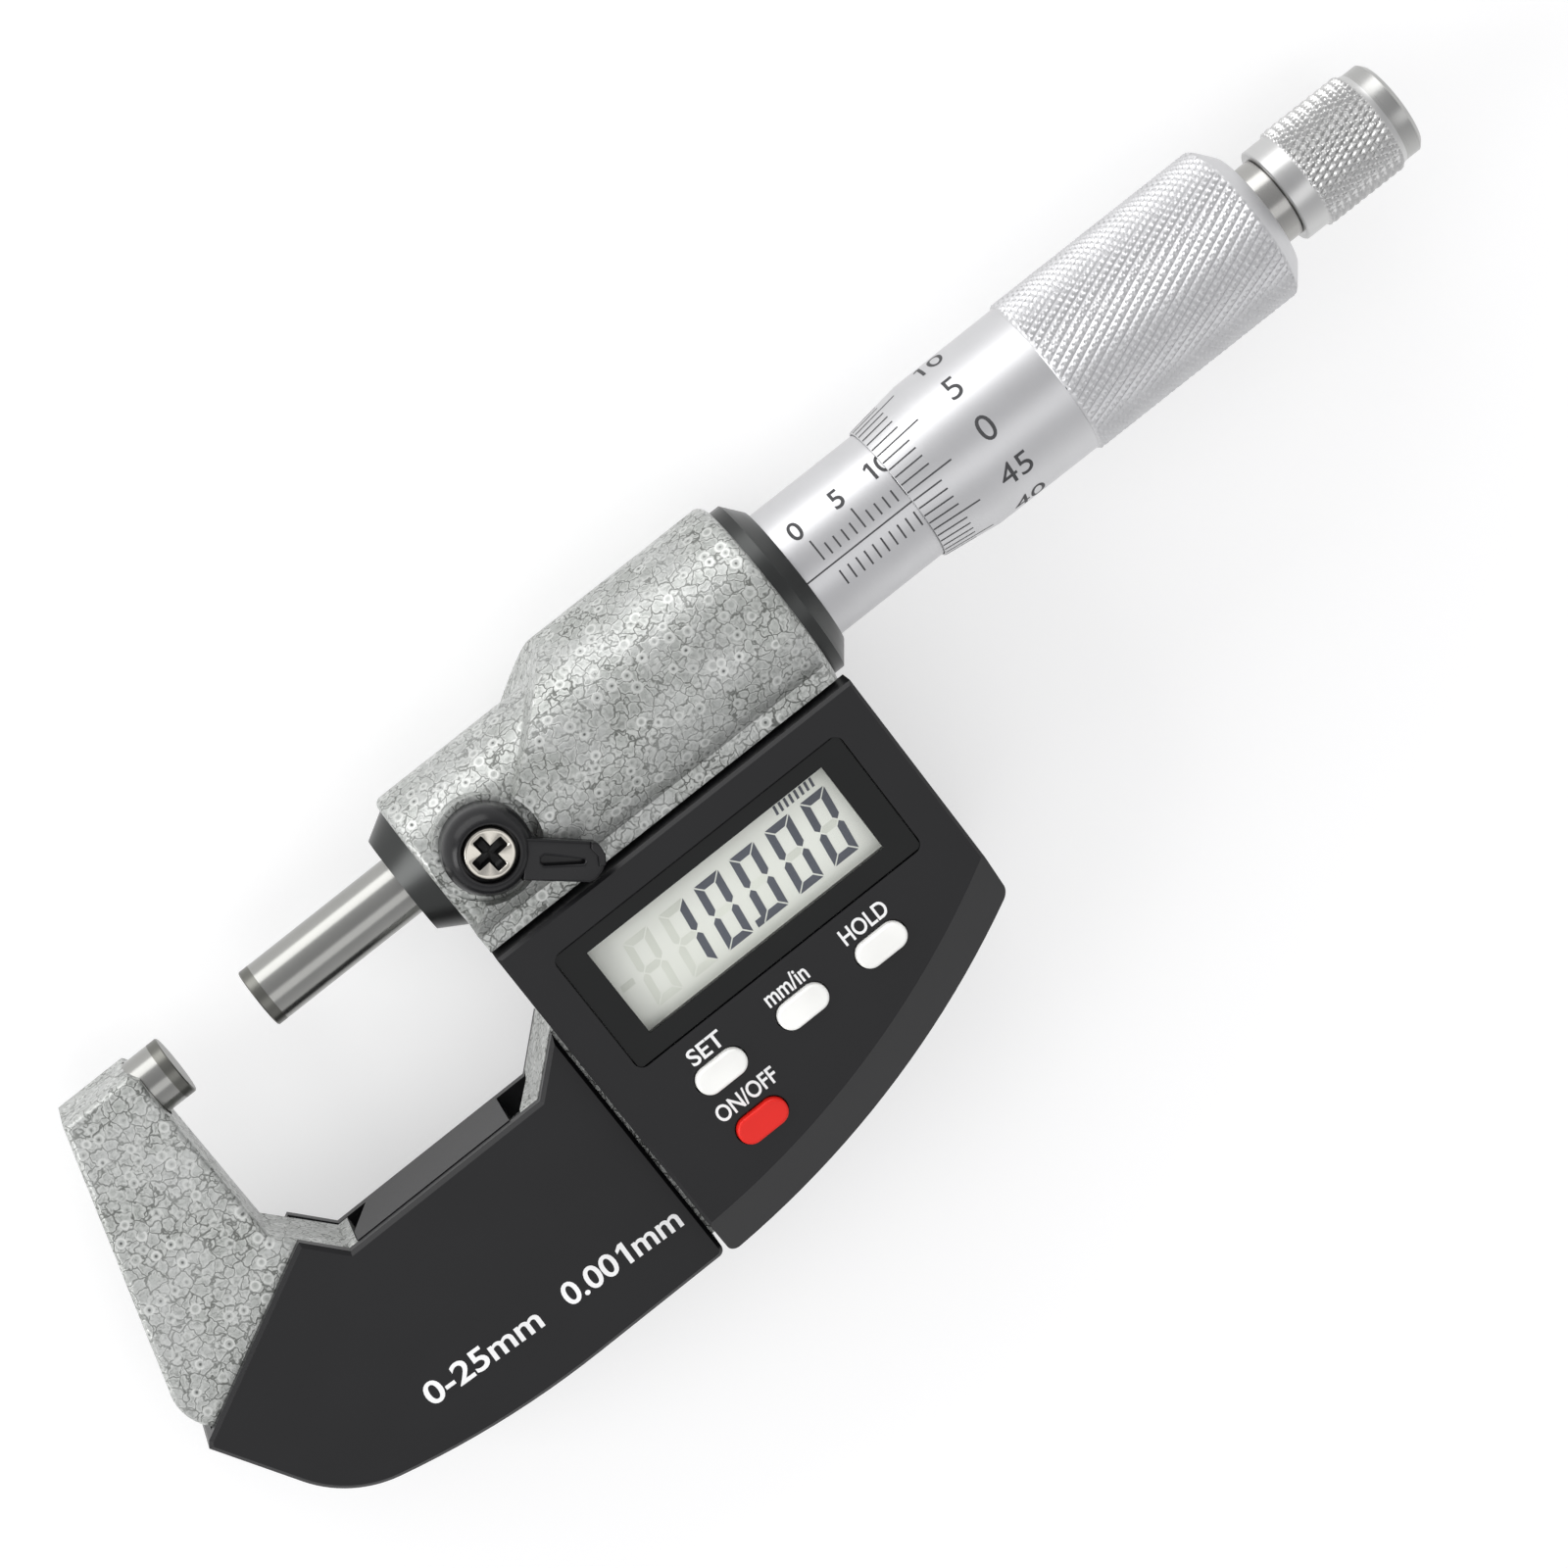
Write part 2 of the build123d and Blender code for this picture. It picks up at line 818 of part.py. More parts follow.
# Spring washer between the chamber's floor and the rotor's hub
with BuildPart() as rotor_spring_washer:
    revolve(
        turning_profile(
            (chamber_start, spring_washer_bore),
            (chamber_start, spring_washer_radius),
            (rotor_hub_start, spring_washer_radius),
            (rotor_hub_start, spring_washer_bore),
        ),
        axis=Axis.X,
    )
rotor_spring_washer.part.label = "rotor_spring_washer"
export_step(rotor_spring_washer.part, "parts/rotor_spring_washer.step")

# Encoder stator, a ring board fixed in the chamber, in which the rotor's hub runs
with BuildPart() as encoder_stator:
    revolve(
        turning_profile(
            (stator_start, rotor_hub_radius + running_clearance),
            (stator_start, stator_radius),
            (stator_start + stator_thickness, stator_radius),
            (stator_start + stator_thickness, rotor_hub_radius + running_clearance),
        ),
        axis=Axis.X,
    )
encoder_stator.part.label = "encoder_stator"
export_step(encoder_stator.part, "parts/encoder_stator.step")

# Spacer ring that clamps the stator in the chamber
with BuildPart() as stator_spacer:
    revolve(
        turning_profile(
            (stator_start + stator_thickness, rotor_hub_radius + 2 * clip_height),
            (stator_start + stator_thickness, chamber_radius - fit_clearance),
            (inner_sleeve_flange_start, chamber_radius - fit_clearance),
            (inner_sleeve_flange_start, rotor_hub_radius + 2 * clip_height),
        ),
        axis=Axis.X,
    )
stator_spacer.part.label = "stator_spacer"
export_step(stator_spacer.part, "parts/stator_spacer.step")

# Inner sleeve: flanged tube with the spindle's nut in its slit, tapered end
with BuildPart() as inner_sleeve:
    nut_start = inner_sleeve_end - nut_length
    revolve(
        turning_profile(
            (inner_sleeve_flange_start, inner_sleeve_bore_radius),
            (inner_sleeve_flange_start, chamber_radius - fit_clearance),
            (swelling_end, chamber_radius - fit_clearance),
            (swelling_end, inner_sleeve_radius),
            (adjusting_nut_start, inner_sleeve_radius),
            (adjusting_nut_start, adjusting_nut_thread_radius),
            (inner_sleeve_end, adjusting_nut_thread_radius - fit_clearance),
            (inner_sleeve_end, thread_radius + thread_clearance),
            (nut_start, thread_radius + thread_clearance),
            (nut_start, inner_sleeve_bore_radius),
        ),
        axis=Axis.X,
    )
    with BuildSketch(Plane.YZ.offset(nut_start)):
        Rectangle(3 * inner_sleeve_radius, slit_width)
        Rectangle(slit_width, 3 * inner_sleeve_radius)
    extrude(amount=nut_length, mode=Mode.SUBTRACT)
inner_sleeve.part.label = "inner_sleeve"
export_step(inner_sleeve.part, "parts/inner_sleeve.step")

# Adjusting nut that closes the slit thread on the spindle
with BuildPart() as adjusting_nut:
    revolve(
        turning_profile(
            (adjusting_nut_start, adjusting_nut_thread_radius + fit_clearance),
            (adjusting_nut_start, adjusting_nut_radius),
            (adjusting_nut_start + adjusting_nut_length, adjusting_nut_radius),
            (adjusting_nut_start + adjusting_nut_length, adjusting_nut_thread_radius + fit_clearance),
        ),
        axis=Axis.X,
    )
    with BuildSketch(Plane.YZ.offset(adjusting_nut_start + adjusting_nut_length / 2)):
        Rectangle(3 * adjusting_nut_radius, slit_width)
    extrude(amount=adjusting_nut_length, mode=Mode.SUBTRACT)
adjusting_nut.part.label = "adjusting_nut"
export_step(adjusting_nut.part, "parts/adjusting_nut.step")

# Black ring that closes the swelling behind the encoder
with BuildPart() as rear_ring:
    ring_end = swelling_end + ring_length
    revolve(
        turning_profile(
            (swelling_end, inner_sleeve_radius + fit_clearance),
            (swelling_end, ring_radius),
            (swelling_end + ring_land, ring_radius),
            (ring_end, ring_end_radius),
            (ring_end, inner_sleeve_radius + fit_clearance),
        ),
        axis=Axis.X,
    )
rear_ring.part.label = "rear_ring"
export_step(rear_ring.part, "parts/rear_ring.step")

# Graduated sleeve over the inner sleeve
with BuildPart() as sleeve:
    revolve(
        turning_profile(
            (ring_end, inner_sleeve_radius + fit_clearance),
            (ring_end, sleeve_radius),
            (sleeve_end, sleeve_radius),
            (sleeve_end, inner_sleeve_radius + fit_clearance),
        ),
        axis=Axis.X,
    )
sleeve.part.label = "sleeve"
export_step(sleeve.part, "parts/sleeve.step")

# Thimble: bevelled scale edge, plain land and knurled grip, seated on the spindle's taper
with BuildPart() as thimble:
    revolve(
        turning_profile(
            (thimble_start, thimble_bore_radius),
            (thimble_start, thimble_edge_radius),
            (thimble_bevel_end, thimble_cone_radius),
            (knurl_start, thimble_plain_radius),
            (knurl_start + knurl_edge, knurl_radius),
            (knurl_end, knurl_radius),
            (thimble_end, thimble_end_radius),
            (thimble_end, neck_recess_radius),
            (thimble_end - neck_recess_depth, neck_recess_radius),
            (thimble_end - neck_recess_depth, ratchet_stud_radius + assembly_clearance),
            (seat_end + assembly_clearance, ratchet_stud_radius + assembly_clearance),
            (seat_end + assembly_clearance, seat_back_radius),
            (seat_end, seat_back_radius + fit_clearance),
            (seat_start, seat_front_radius + fit_clearance),
            (seat_start, thimble_bore_radius),
            rounded=[(knurl_end, knurl_radius)],
            radius=knurl_edge,
        ),
        axis=Axis.X,
    )
thimble.part.label = "thimble"
export_step(thimble.part, "parts/thimble.step")

# Ratchet base: stud into the spindle, neck, toothed face and the shaft that the knob turns on
with BuildPart() as ratchet_base:
    disc_start = knob_ring_end
    disc_face = disc_start + ratchet_disc_thickness
    shaft_end = knob_end - knob_end_wall
    revolve(
        turning_profile(
            (seat_start + running_clearance, 0),
            (seat_start + running_clearance, ratchet_stud_radius),
            (thimble_end - neck_recess_depth, ratchet_stud_radius),
            (thimble_end - neck_recess_depth, neck_radius),
            (knob_start, neck_radius),
            (knob_start, ratchet_disc_radius),
            (disc_face, ratchet_disc_radius),
            (disc_face, ratchet_shaft_radius),
            (shaft_end, ratchet_shaft_radius),
            (shaft_end, ratchet_screw_radius + fit_clearance),
            (shaft_end - ratchet_screw_length, ratchet_screw_radius + fit_clearance),
            (shaft_end - ratchet_screw_length, 0),
        ),
        axis=Axis.X,
    )
    # One saw tooth cut at the rim, repeated round the face
    with BuildSketch(Plane.XY.offset(ratchet_shaft_radius)) as tooth_gap:
        with BuildLine():
            pitch = 2 * pi * ratchet_disc_radius / ratchet_teeth
            Polyline(
                (disc_face, -pitch / 2), (disc_face - tooth_height, -pitch / 2), (disc_face, pitch / 2),
                close=True,
            )
        make_face()
    gap = extrude(amount=ratchet_disc_radius, mode=Mode.PRIVATE)
    for tooth in range(ratchet_teeth):
        add(gap.rotate(Axis.X, 360 * tooth / ratchet_teeth), mode=Mode.SUBTRACT)
ratchet_base.part.label = "ratchet_base"
export_step(ratchet_base.part, "parts/ratchet_base.step")

# Toothed washer that the spring holds against the base, shown riding on the crests
with BuildPart() as ratchet_washer:
    washer_face = disc_face + crest_gap
    washer_back = washer_face + ratchet_disc_thickness
    washer_bore = ratchet_shaft_radius + ratchet_shaft_clearance
    revolve(
        turning_profile(
            (washer_face, washer_bore),
            (washer_face, ratchet_disc_radius),
            (washer_back, ratchet_disc_radius),
            (washer_back, washer_bore),
        ),
        axis=Axis.X,
    )
    with BuildSketch(Plane.XY.offset(ratchet_shaft_radius)) as notch:
        with BuildLine():
            Polyline(
                (washer_face, pitch / 2), (washer_face + tooth_height, pitch / 2), (washer_face, -pitch / 2),
                close=True,
            )
        make_face()
    notch_cut = extrude(amount=ratchet_disc_radius, mode=Mode.PRIVATE)
    for tooth in range(ratchet_teeth):
        add(notch_cut.rotate(Axis.X, 360 * tooth / ratchet_teeth), mode=Mode.SUBTRACT)
ratchet_washer.part.label = "ratchet_washer"
export_step(ratchet_washer.part, "parts/ratchet_washer.step")

# Ratchet spring, a helix between the washer and the knob's end wall
with BuildPart() as ratchet_spring:
    coil_radius = ratchet_disc_radius - spring_wire
    coil_start = washer_back + spring_wire / 2
    coil_end = shaft_end - spring_wire / 2
    coil_height = coil_end - coil_start
    with BuildLine() as coil:
        Helix(
            pitch=coil_height / spring_turns,
            height=coil_height,
            radius=coil_radius,
            center=(coil_start, 0, 0),
            direction=(1, 0, 0),
        )
    with BuildSketch(Plane(origin=coil.line @ 0, z_dir=coil.line % 0)):
        Circle(spring_wire / 2)
    sweep()
ratchet_spring.part.label = "ratchet_spring"
export_step(ratchet_spring.part, "parts/ratchet_spring.step")

# Ratchet knob, a knurled cap that carries the washer and slips over the base
with BuildPart() as ratchet_knob:
    cavity = ratchet_disc_radius + assembly_clearance
    revolve(
        turning_profile(
            (knob_start + crest_gap, cavity),
            (knob_start + crest_gap, knob_ring_radius),
            (knob_ring_end, knob_ring_radius),
            (knob_ring_end, knob_radius),
            (knob_knurl_end, knob_radius),
            (knob_land_start, knob_land_radius),
            (knob_end - knurl_edge, knob_land_radius),
            (knob_end, knob_end_radius),
            (knob_end, ratchet_screw_head_radius + assembly_clearance),
            (shaft_end + crest_gap, ratchet_screw_head_radius + assembly_clearance),
            (shaft_end + crest_gap, ratchet_shaft_radius + ratchet_shaft_clearance),
            (shaft_end, ratchet_shaft_radius + ratchet_shaft_clearance),
            (shaft_end, cavity),
        ),
        axis=Axis.X,
    )
ratchet_knob.part.label = "ratchet_knob"
export_step(ratchet_knob.part, "parts/ratchet_knob.step")

# Screw that keeps the knob on the base's shaft
with BuildPart() as ratchet_screw:
    head_start = shaft_end + 2 * crest_gap
    revolve(
        turning_profile(
            (shaft_end - ratchet_screw_length + running_clearance, 0),
            (shaft_end - ratchet_screw_length + running_clearance, ratchet_screw_radius),
            (shaft_end, ratchet_screw_radius),
            (shaft_end, ratchet_shaft_radius),
            (head_start, ratchet_shaft_radius),
            (head_start, ratchet_screw_head_radius),
            (head_start + ratchet_screw_head_height, ratchet_screw_head_radius),
            (head_start + ratchet_screw_head_height, 0),
        ),
        axis=Axis.X,
    )
    with BuildSketch(Plane.YZ.offset(head_start + ratchet_screw_head_height)):
        Rectangle(3 * ratchet_screw_head_radius, cross_width)
    extrude(amount=-cross_depth, mode=Mode.SUBTRACT)
ratchet_screw.part.label = "ratchet_screw"
export_step(ratchet_screw.part, "parts/ratchet_screw.step")

# Brass pad that the lock presses on the spindle
with BuildPart() as lock_pad:
    pad_bottom = measuring_radius + lock_pad_gap
    with BuildSketch(Plane.XY.offset(pad_bottom)):
        with Locations(lock_place):
            Circle(lock_stud_radius)
    extrude(amount=lock_pad_thickness)
lock_pad.part.label = "lock_pad"
export_step(lock_pad.part, "parts/lock_pad.step")

# Threaded stud that the lever turns
with BuildPart() as lock_stud:
    with BuildSketch(Plane.XY.offset(pad_bottom + lock_pad_thickness)):
        with Locations(lock_place):
            Circle(lock_stud_radius)
    extrude(amount=lock_stud_top - pad_bottom - lock_pad_thickness)
    with BuildSketch(Plane.XY.offset(lock_stud_top)):
        with Locations(lock_place):
            Circle(lock_screw_radius + fit_clearance)
    extrude(amount=pad_bottom + lock_pad_thickness - lock_stud_top + lock_pad_thickness, mode=Mode.SUBTRACT)
lock_stud.part.label = "lock_stud"
export_step(lock_stud.part, "parts/lock_stud.step")

# Lock lever: hub round the stud with a coned top, and an arm that reaches over the swelling
with BuildPart() as lock_lever:
    hub_bottom = boss_top + hub_gap
    revolve(
        upright_profile(
            lock_place,
            (lock_stud_radius + fit_clearance, hub_bottom),
            (hub_radius, hub_bottom),
            (hub_radius, hub_shoulder),
            (hub_top_radius, hub_top),
            (hub_bore_radius, hub_top),
            (hub_bore_radius, lock_screw_seat),
            (lock_screw_radius + assembly_clearance, lock_screw_seat),
            (lock_screw_radius + assembly_clearance, lock_stud_top),
            (lock_stud_radius + fit_clearance, lock_stud_top),
        ),
        axis=lock_axis,
    )
    arm_plane = Plane(
        origin=(*lock_place, lever_bottom),
        x_dir=(cos(radians(lever_angle)), sin(radians(lever_angle)), 0),
        z_dir=(0, 0, 1),
    )
    with BuildSketch(arm_plane):
        with BuildLine():
            Polyline(
                (hub_top_radius, lever_offset - lever_width / 2),
                (lever_reach, lever_offset - lever_width / 2),
                (lever_reach, lever_offset + lever_width / 2),
                (hub_top_radius, lever_offset + lever_width / 2),
                close=True,
            )
        arm = make_face()
        fillet(arm.vertices().group_by(Axis.X)[-1], lever_corner_radius)
    extrude(amount=lever_thickness)
    with BuildSketch(arm_plane.offset(lever_thickness)):
        with Locations(((lever_slot_start + lever_slot_end) / 2, lever_offset)):
            SlotOverall(lever_slot_end - lever_slot_start, lever_slot_width)
    extrude(amount=-lever_slot_depth, mode=Mode.SUBTRACT)
lock_lever.part.label = "lock_lever"
export_step(lock_lever.part, "parts/lock_lever.step")

# Cross-recessed screw that holds the lever on the stud
with BuildPart() as lock_screw:
    screw_top = lock_screw_seat + lock_screw_head_height
    with BuildSketch(Plane.XY.offset(lock_screw_seat)):
        with Locations(lock_place):
            Circle(lock_screw_head_radius)
    extrude(amount=lock_screw_head_height)
    fillet(lock_screw.edges().group_by(Axis.Z)[-1], lock_screw_edge)
    with BuildSketch(Plane.XY.offset(lock_screw_seat)):
        with Locations(lock_place):
            Circle(lock_screw_radius)
    extrude(amount=pad_bottom + 2 * lock_pad_thickness - lock_screw_seat)
    with BuildSketch(Plane.XY.offset(screw_top)):
        with Locations(lock_place):
            Rectangle(lock_cross_length, lock_cross_width)
            Rectangle(lock_cross_width, lock_cross_length)
    extrude(amount=-lock_cross_depth, taper=lock_cross_taper, mode=Mode.SUBTRACT)
lock_screw.part.label = "lock_screw"
export_step(lock_screw.part, "parts/lock_screw.step")

# Faces that the covers and the case leave free for the frame's plate
bow_space = offset(bow_outline(plate_edge_radius), amount=bow_passage_clearance)
leg_space = offset(leg_outline(), amount=bow_passage_clearance)

# Front insulating cover, a plastic half shell with a lip in the notch and posts in the frame's holes
with BuildPart() as front_insulating_cover:
    extrude(cover_outline(), amount=cover_face)
    chamfer(front_insulating_cover.edges().group_by(Axis.Z)[-1], cover_edge)
    extrude(bow_space, amount=half_plate, mode=Mode.SUBTRACT)
    with BuildSketch(Plane.XZ.offset(throat_depth)):
        with BuildLine():
            Polyline(
                (lip_middle, 0),
                (lip_right, 0),
                (lip_right, half_plate),
                (notch_left + assembly_clearance, half_plate),
                (notch_left + assembly_clearance, lip_slant_height),
                close=True,
            )
        make_face()
    extrude(amount=lip_thickness)
    with BuildSketch(Plane.XY.offset(half_plate - post_length)):
        with Locations(*cover_post_places):
            Circle(post_radius)
    extrude(amount=post_length)
    with BuildSketch(Plane.XY.offset(half_plate - post_length)):
        with Locations(*cover_post_places):
            Circle(cover_screw_radius + fit_clearance)
    extrude(amount=post_length, mode=Mode.SUBTRACT)
front_insulating_cover.part.label = "front_insulating_cover"
export_step(front_insulating_cover.part, "parts/front_insulating_cover.step")

# Back insulating cover, the same half shell turned over, with holes for its screws
with BuildPart() as back_insulating_cover:
    extrude(cover_outline(), amount=-cover_face)
    chamfer(back_insulating_cover.edges().group_by(Axis.Z)[0], cover_edge)
    extrude(bow_space, amount=-half_plate, mode=Mode.SUBTRACT)
    with BuildSketch(Plane.XZ.offset(throat_depth)):
        with BuildLine():
            Polyline(
                (lip_middle, 0), (lip_right, 0), (lip_right, -half_plate), (lip_left, -half_plate), close=True
            )
        make_face()
    extrude(amount=lip_thickness)
    with BuildSketch(Plane.XY.offset(-half_plate)):
        with Locations(*cover_post_places):
            Circle(post_radius)
    extrude(amount=post_length)
    with BuildSketch(Plane.XY.offset(-cover_face)):
        with Locations(*cover_post_places):
            Circle(cover_screw_radius + assembly_clearance)
    extrude(amount=cover_thickness + post_length, mode=Mode.SUBTRACT)
    with BuildSketch(Plane.XY.offset(-cover_face)):
        with Locations(*cover_post_places):
            Circle(cover_screw_head_radius + assembly_clearance)
    extrude(amount=cover_screw_head_height, mode=Mode.SUBTRACT)
back_insulating_cover.part.label = "back_insulating_cover"
export_step(back_insulating_cover.part, "parts/back_insulating_cover.step")

# Screws that draw the two insulating covers together
with BuildPart() as cover_screws:
    head_seat = -cover_face + cover_screw_head_height
    with BuildSketch(Plane.XY.offset(-cover_face + fit_clearance)):
        with Locations(*cover_post_places):
            Circle(cover_screw_head_radius)
    extrude(amount=cover_screw_head_height - fit_clearance)
    with BuildSketch(Plane.XY.offset(-cover_face + fit_clearance)):
        with Locations(*cover_post_places):
            Rectangle(cross_length, cross_width)
            Rectangle(cross_width, cross_length)
    extrude(amount=cross_depth, mode=Mode.SUBTRACT)
    with BuildSketch(Plane.XY.offset(head_seat)):
        with Locations(*cover_post_places):
            Circle(cover_screw_radius)
    extrude(amount=half_plate - post_length + screw_bite - head_seat)
cover_screws.part.label = "cover_screws"
export_step(cover_screws.part, "parts/cover_screws.step")

# Space inside the front shell of the case, with the bevel carried through at wall thickness
with BuildPart() as front_space:
    extrude(case_outline(case_wall), amount=case_inner_face)
    revolve(bevel_profile(case_wall), axis=case_axis, mode=Mode.SUBTRACT)

# Display housing, the case's front shell
with BuildPart() as display_housing:
    extrude(case_outline(0), amount=case_front)
    chamfer(display_housing.edges().group_by(Axis.Z)[-1], case_face_edge)
    add(front_space.part, mode=Mode.SUBTRACT)
    with BuildSketch(Plane.XY.offset(half_plate)):
        with Locations(*case_screw_places):
            Circle(case_boss_radius)
    extrude(amount=case_inner_face - half_plate)
    with BuildSketch(Plane.XY.offset(board_face)):
        with Locations(*board_screw_places):
            Circle(board_boss_radius)
    extrude(amount=case_inner_face - board_face)
    revolve(bevel_profile(0), axis=case_axis, mode=Mode.SUBTRACT)

    # Room for the frame's bow, leg and barrel
    extrude(bow_space, amount=half_plate, mode=Mode.SUBTRACT)
    extrude(leg_space, amount=half_plate, mode=Mode.SUBTRACT)
    revolve(saddle_profile(), axis=Axis.X, mode=Mode.SUBTRACT)

    # Lens recess and display window
    with BuildSketch(Plane.XY.offset(case_front)):
        with Locations(((recess_left + recess_right) / 2, (recess_top + recess_bottom) / 2)):
            RectangleRounded(recess_right - recess_left, recess_top - recess_bottom, recess_corner_radius)
    extrude(amount=-recess_depth, mode=Mode.SUBTRACT)
    with BuildSketch(Plane.XY.offset(case_front)):
        with Locations(((window_left + window_right) / 2, (window_top + window_bottom) / 2)):
            Rectangle(window_right - window_left, window_top - window_bottom)
    extrude(amount=-case_wall, mode=Mode.SUBTRACT)

    # Button holes and screw pilot holes
    with BuildSketch(Plane.XY.offset(case_front)):
        with Locations(set_button_place, unit_button_place, hold_button_place, power_button_place):
            SlotOverall(button_length + 2 * button_clearance, button_width + 2 * button_clearance)
    extrude(amount=-case_wall, mode=Mode.SUBTRACT)
    with BuildSketch(Plane.XY.offset(half_plate)):
        with Locations(*case_screw_places):
            Circle(case_screw_radius + fit_clearance)
    extrude(amount=screw_bite + assembly_clearance, mode=Mode.SUBTRACT)
    with BuildSketch(Plane.XY.offset(board_face)):
        with Locations(*board_screw_places):
            Circle(board_screw_radius + fit_clearance)
    extrude(amount=board_screw_bite + assembly_clearance, mode=Mode.SUBTRACT)
display_housing.part.label = "display_housing"
export_step(display_housing.part, "parts/display_housing.step")

# Back cover, the case's rear shell, with the cell's well, the lid's bayonet groove and screw bosses
with BuildPart() as back_cover:
    lid_face = -case_back + lid_sink
    lid_inside = lid_face + lid_thickness
    well_ceiling = lid_inside + battery_height + battery_clearance + contact_thickness
    floor_inside = -case_back + case_wall
    extrude(case_outline(0), amount=-case_back)
    chamfer(back_cover.edges().group_by(Axis.Z)[0], back_edge)
    extrude(case_outline(case_wall), amount=floor_inside, mode=Mode.SUBTRACT)
    with BuildSketch(Plane.XY.offset(floor_inside)):
        with Locations(battery_place):
            Circle(battery_radius + battery_clearance + well_wall)
    extrude(amount=well_ceiling + well_wall - floor_inside)
    with BuildSketch(Plane.XY.offset(floor_inside)):
        with Locations(*case_screw_places):
            Circle(case_boss_radius)
    extrude(amount=-half_plate - floor_inside)
    extrude(bow_space, amount=-half_plate, mode=Mode.SUBTRACT)
    extrude(leg_space, amount=-half_plate, mode=Mode.SUBTRACT)
    revolve(saddle_profile(), axis=Axis.X, mode=Mode.SUBTRACT)

    # Well, lid opening, bayonet groove and the tabs' way in
    with BuildSketch(Plane.XY.offset(-case_back)):
        with Locations(battery_place):
            Circle(battery_radius + battery_clearance)
    extrude(amount=well_ceiling + case_back, mode=Mode.SUBTRACT)
    with BuildSketch(Plane.XY.offset(-case_back)):
        with Locations(battery_place):
            Circle(lid_radius + lid_clearance)
    extrude(amount=lid_sink + lid_thickness + assembly_clearance, mode=Mode.SUBTRACT)
    with BuildSketch(Plane.XY.offset(lid_inside - lid_tab_thickness - assembly_clearance)):
        with Locations(battery_place):
            Circle(lid_radius + lid_tab_length + lid_clearance)
    extrude(amount=lid_tab_thickness + 2 * assembly_clearance, mode=Mode.SUBTRACT)
    with BuildSketch(Plane.XY.offset(-case_back)):
        with Locations(Location((*battery_place, 0), (0, 0, lid_turn))):
            Rectangle(
                2 * (lid_radius + lid_tab_length + lid_clearance), lid_tab_width + 2 * lid_clearance
            )
    extrude(amount=lid_sink + lid_thickness, mode=Mode.SUBTRACT)

    # Slot for the side contact, holes for the leads, and seats for the case screws
    with BuildSketch(Plane.XY.offset(floor_inside)):
        with Locations((battery_place[0] + battery_radius + contact_thickness, battery_place[1])):
            Rectangle(3 * contact_thickness, contact_width + 2 * assembly_clearance)
    extrude(amount=well_ceiling - floor_inside, mode=Mode.SUBTRACT)
    with BuildSketch(Plane.XY.offset(well_ceiling)):
        with Locations(battery_place):
            with GridLocations(lead_spacing, 0, 2, 1):
                Circle(lead_radius + fit_clearance)
    extrude(amount=well_wall, mode=Mode.SUBTRACT)
    with BuildSketch(Plane.XY.offset(-case_back)):
        with Locations(*case_screw_places):
            Circle(case_screw_radius + screw_hole_clearance)
    extrude(amount=case_back, mode=Mode.SUBTRACT)
    with BuildSketch(Plane.XY.offset(-case_back)):
        with Locations(*case_screw_places):
            Circle(case_screw_head_radius + screw_hole_clearance)
    extrude(amount=case_screw_sink + case_screw_head_height, mode=Mode.SUBTRACT)
back_cover.part.label = "back_cover"
export_step(back_cover.part, "parts/back_cover.step")

# Screws that clamp the two shells on the frame's leg
with BuildPart() as case_screws:
    screw_seat = -case_back + case_screw_sink + case_screw_head_height
    with BuildSketch(Plane.XY.offset(-case_back + case_screw_sink)):
        with Locations(*case_screw_places):
            Circle(case_screw_head_radius)
    extrude(amount=case_screw_head_height)
    with BuildSketch(Plane.XY.offset(-case_back + case_screw_sink)):
        with Locations(*case_screw_places):
            Rectangle(cross_length, cross_width)
            Rectangle(cross_width, cross_length)
    extrude(amount=cross_depth, mode=Mode.SUBTRACT)
    with BuildSketch(Plane.XY.offset(screw_seat)):
        with Locations(*case_screw_places):
            Circle(case_screw_radius)
    extrude(amount=half_plate + screw_bite - screw_seat)
case_screws.part.label = "case_screws"
export_step(case_screws.part, "parts/case_screws.step")

# Clear lens in the recess over the display
with BuildPart() as display_window:
    with BuildSketch(Plane.XY.offset(case_front - recess_depth)):
        with Locations(((recess_left + recess_right) / 2, (recess_top + recess_bottom) / 2)):
            RectangleRounded(
                recess_right - recess_left - 2 * assembly_clearance,
                recess_top - recess_bottom - 2 * assembly_clearance,
                recess_corner_radius - assembly_clearance,
            )
    extrude(amount=lens_thickness)
display_window.part.label = "display_window"
export_step(display_window.part, "parts/display_window.step")

# Liquid crystal panel behind the window
with BuildPart() as lcd_panel:
    lcd_width = window_right - window_left + 2 * lcd_margin
    lcd_depth = window_top - window_bottom + 2 * lcd_margin
    lcd_middle = ((window_left + window_right) / 2, (window_top + window_bottom) / 2)
    with BuildSketch(Plane.XY.offset(case_inner_face)):
        with Locations(lcd_middle):
            Rectangle(lcd_width, lcd_depth)
    extrude(amount=-lcd_thickness)
lcd_panel.part.label = "lcd_panel"
export_step(lcd_panel.part, "parts/lcd_panel.step")

# Two elastic strips that connect the panel to the board
with BuildPart() as lcd_connectors:
    with BuildSketch(Plane.XY.offset(board_face)):
        with Locations(lcd_middle):
            with GridLocations(0, lcd_depth - 2 * lcd_connector_width, 1, 2):
                Rectangle(lcd_width - 2 * lcd_connector_width, lcd_connector_width)
    extrude(amount=case_inner_face - lcd_thickness - board_face)
lcd_connectors.part.label = "lcd_connectors"
export_step(lcd_connectors.part, "parts/lcd_connectors.step")

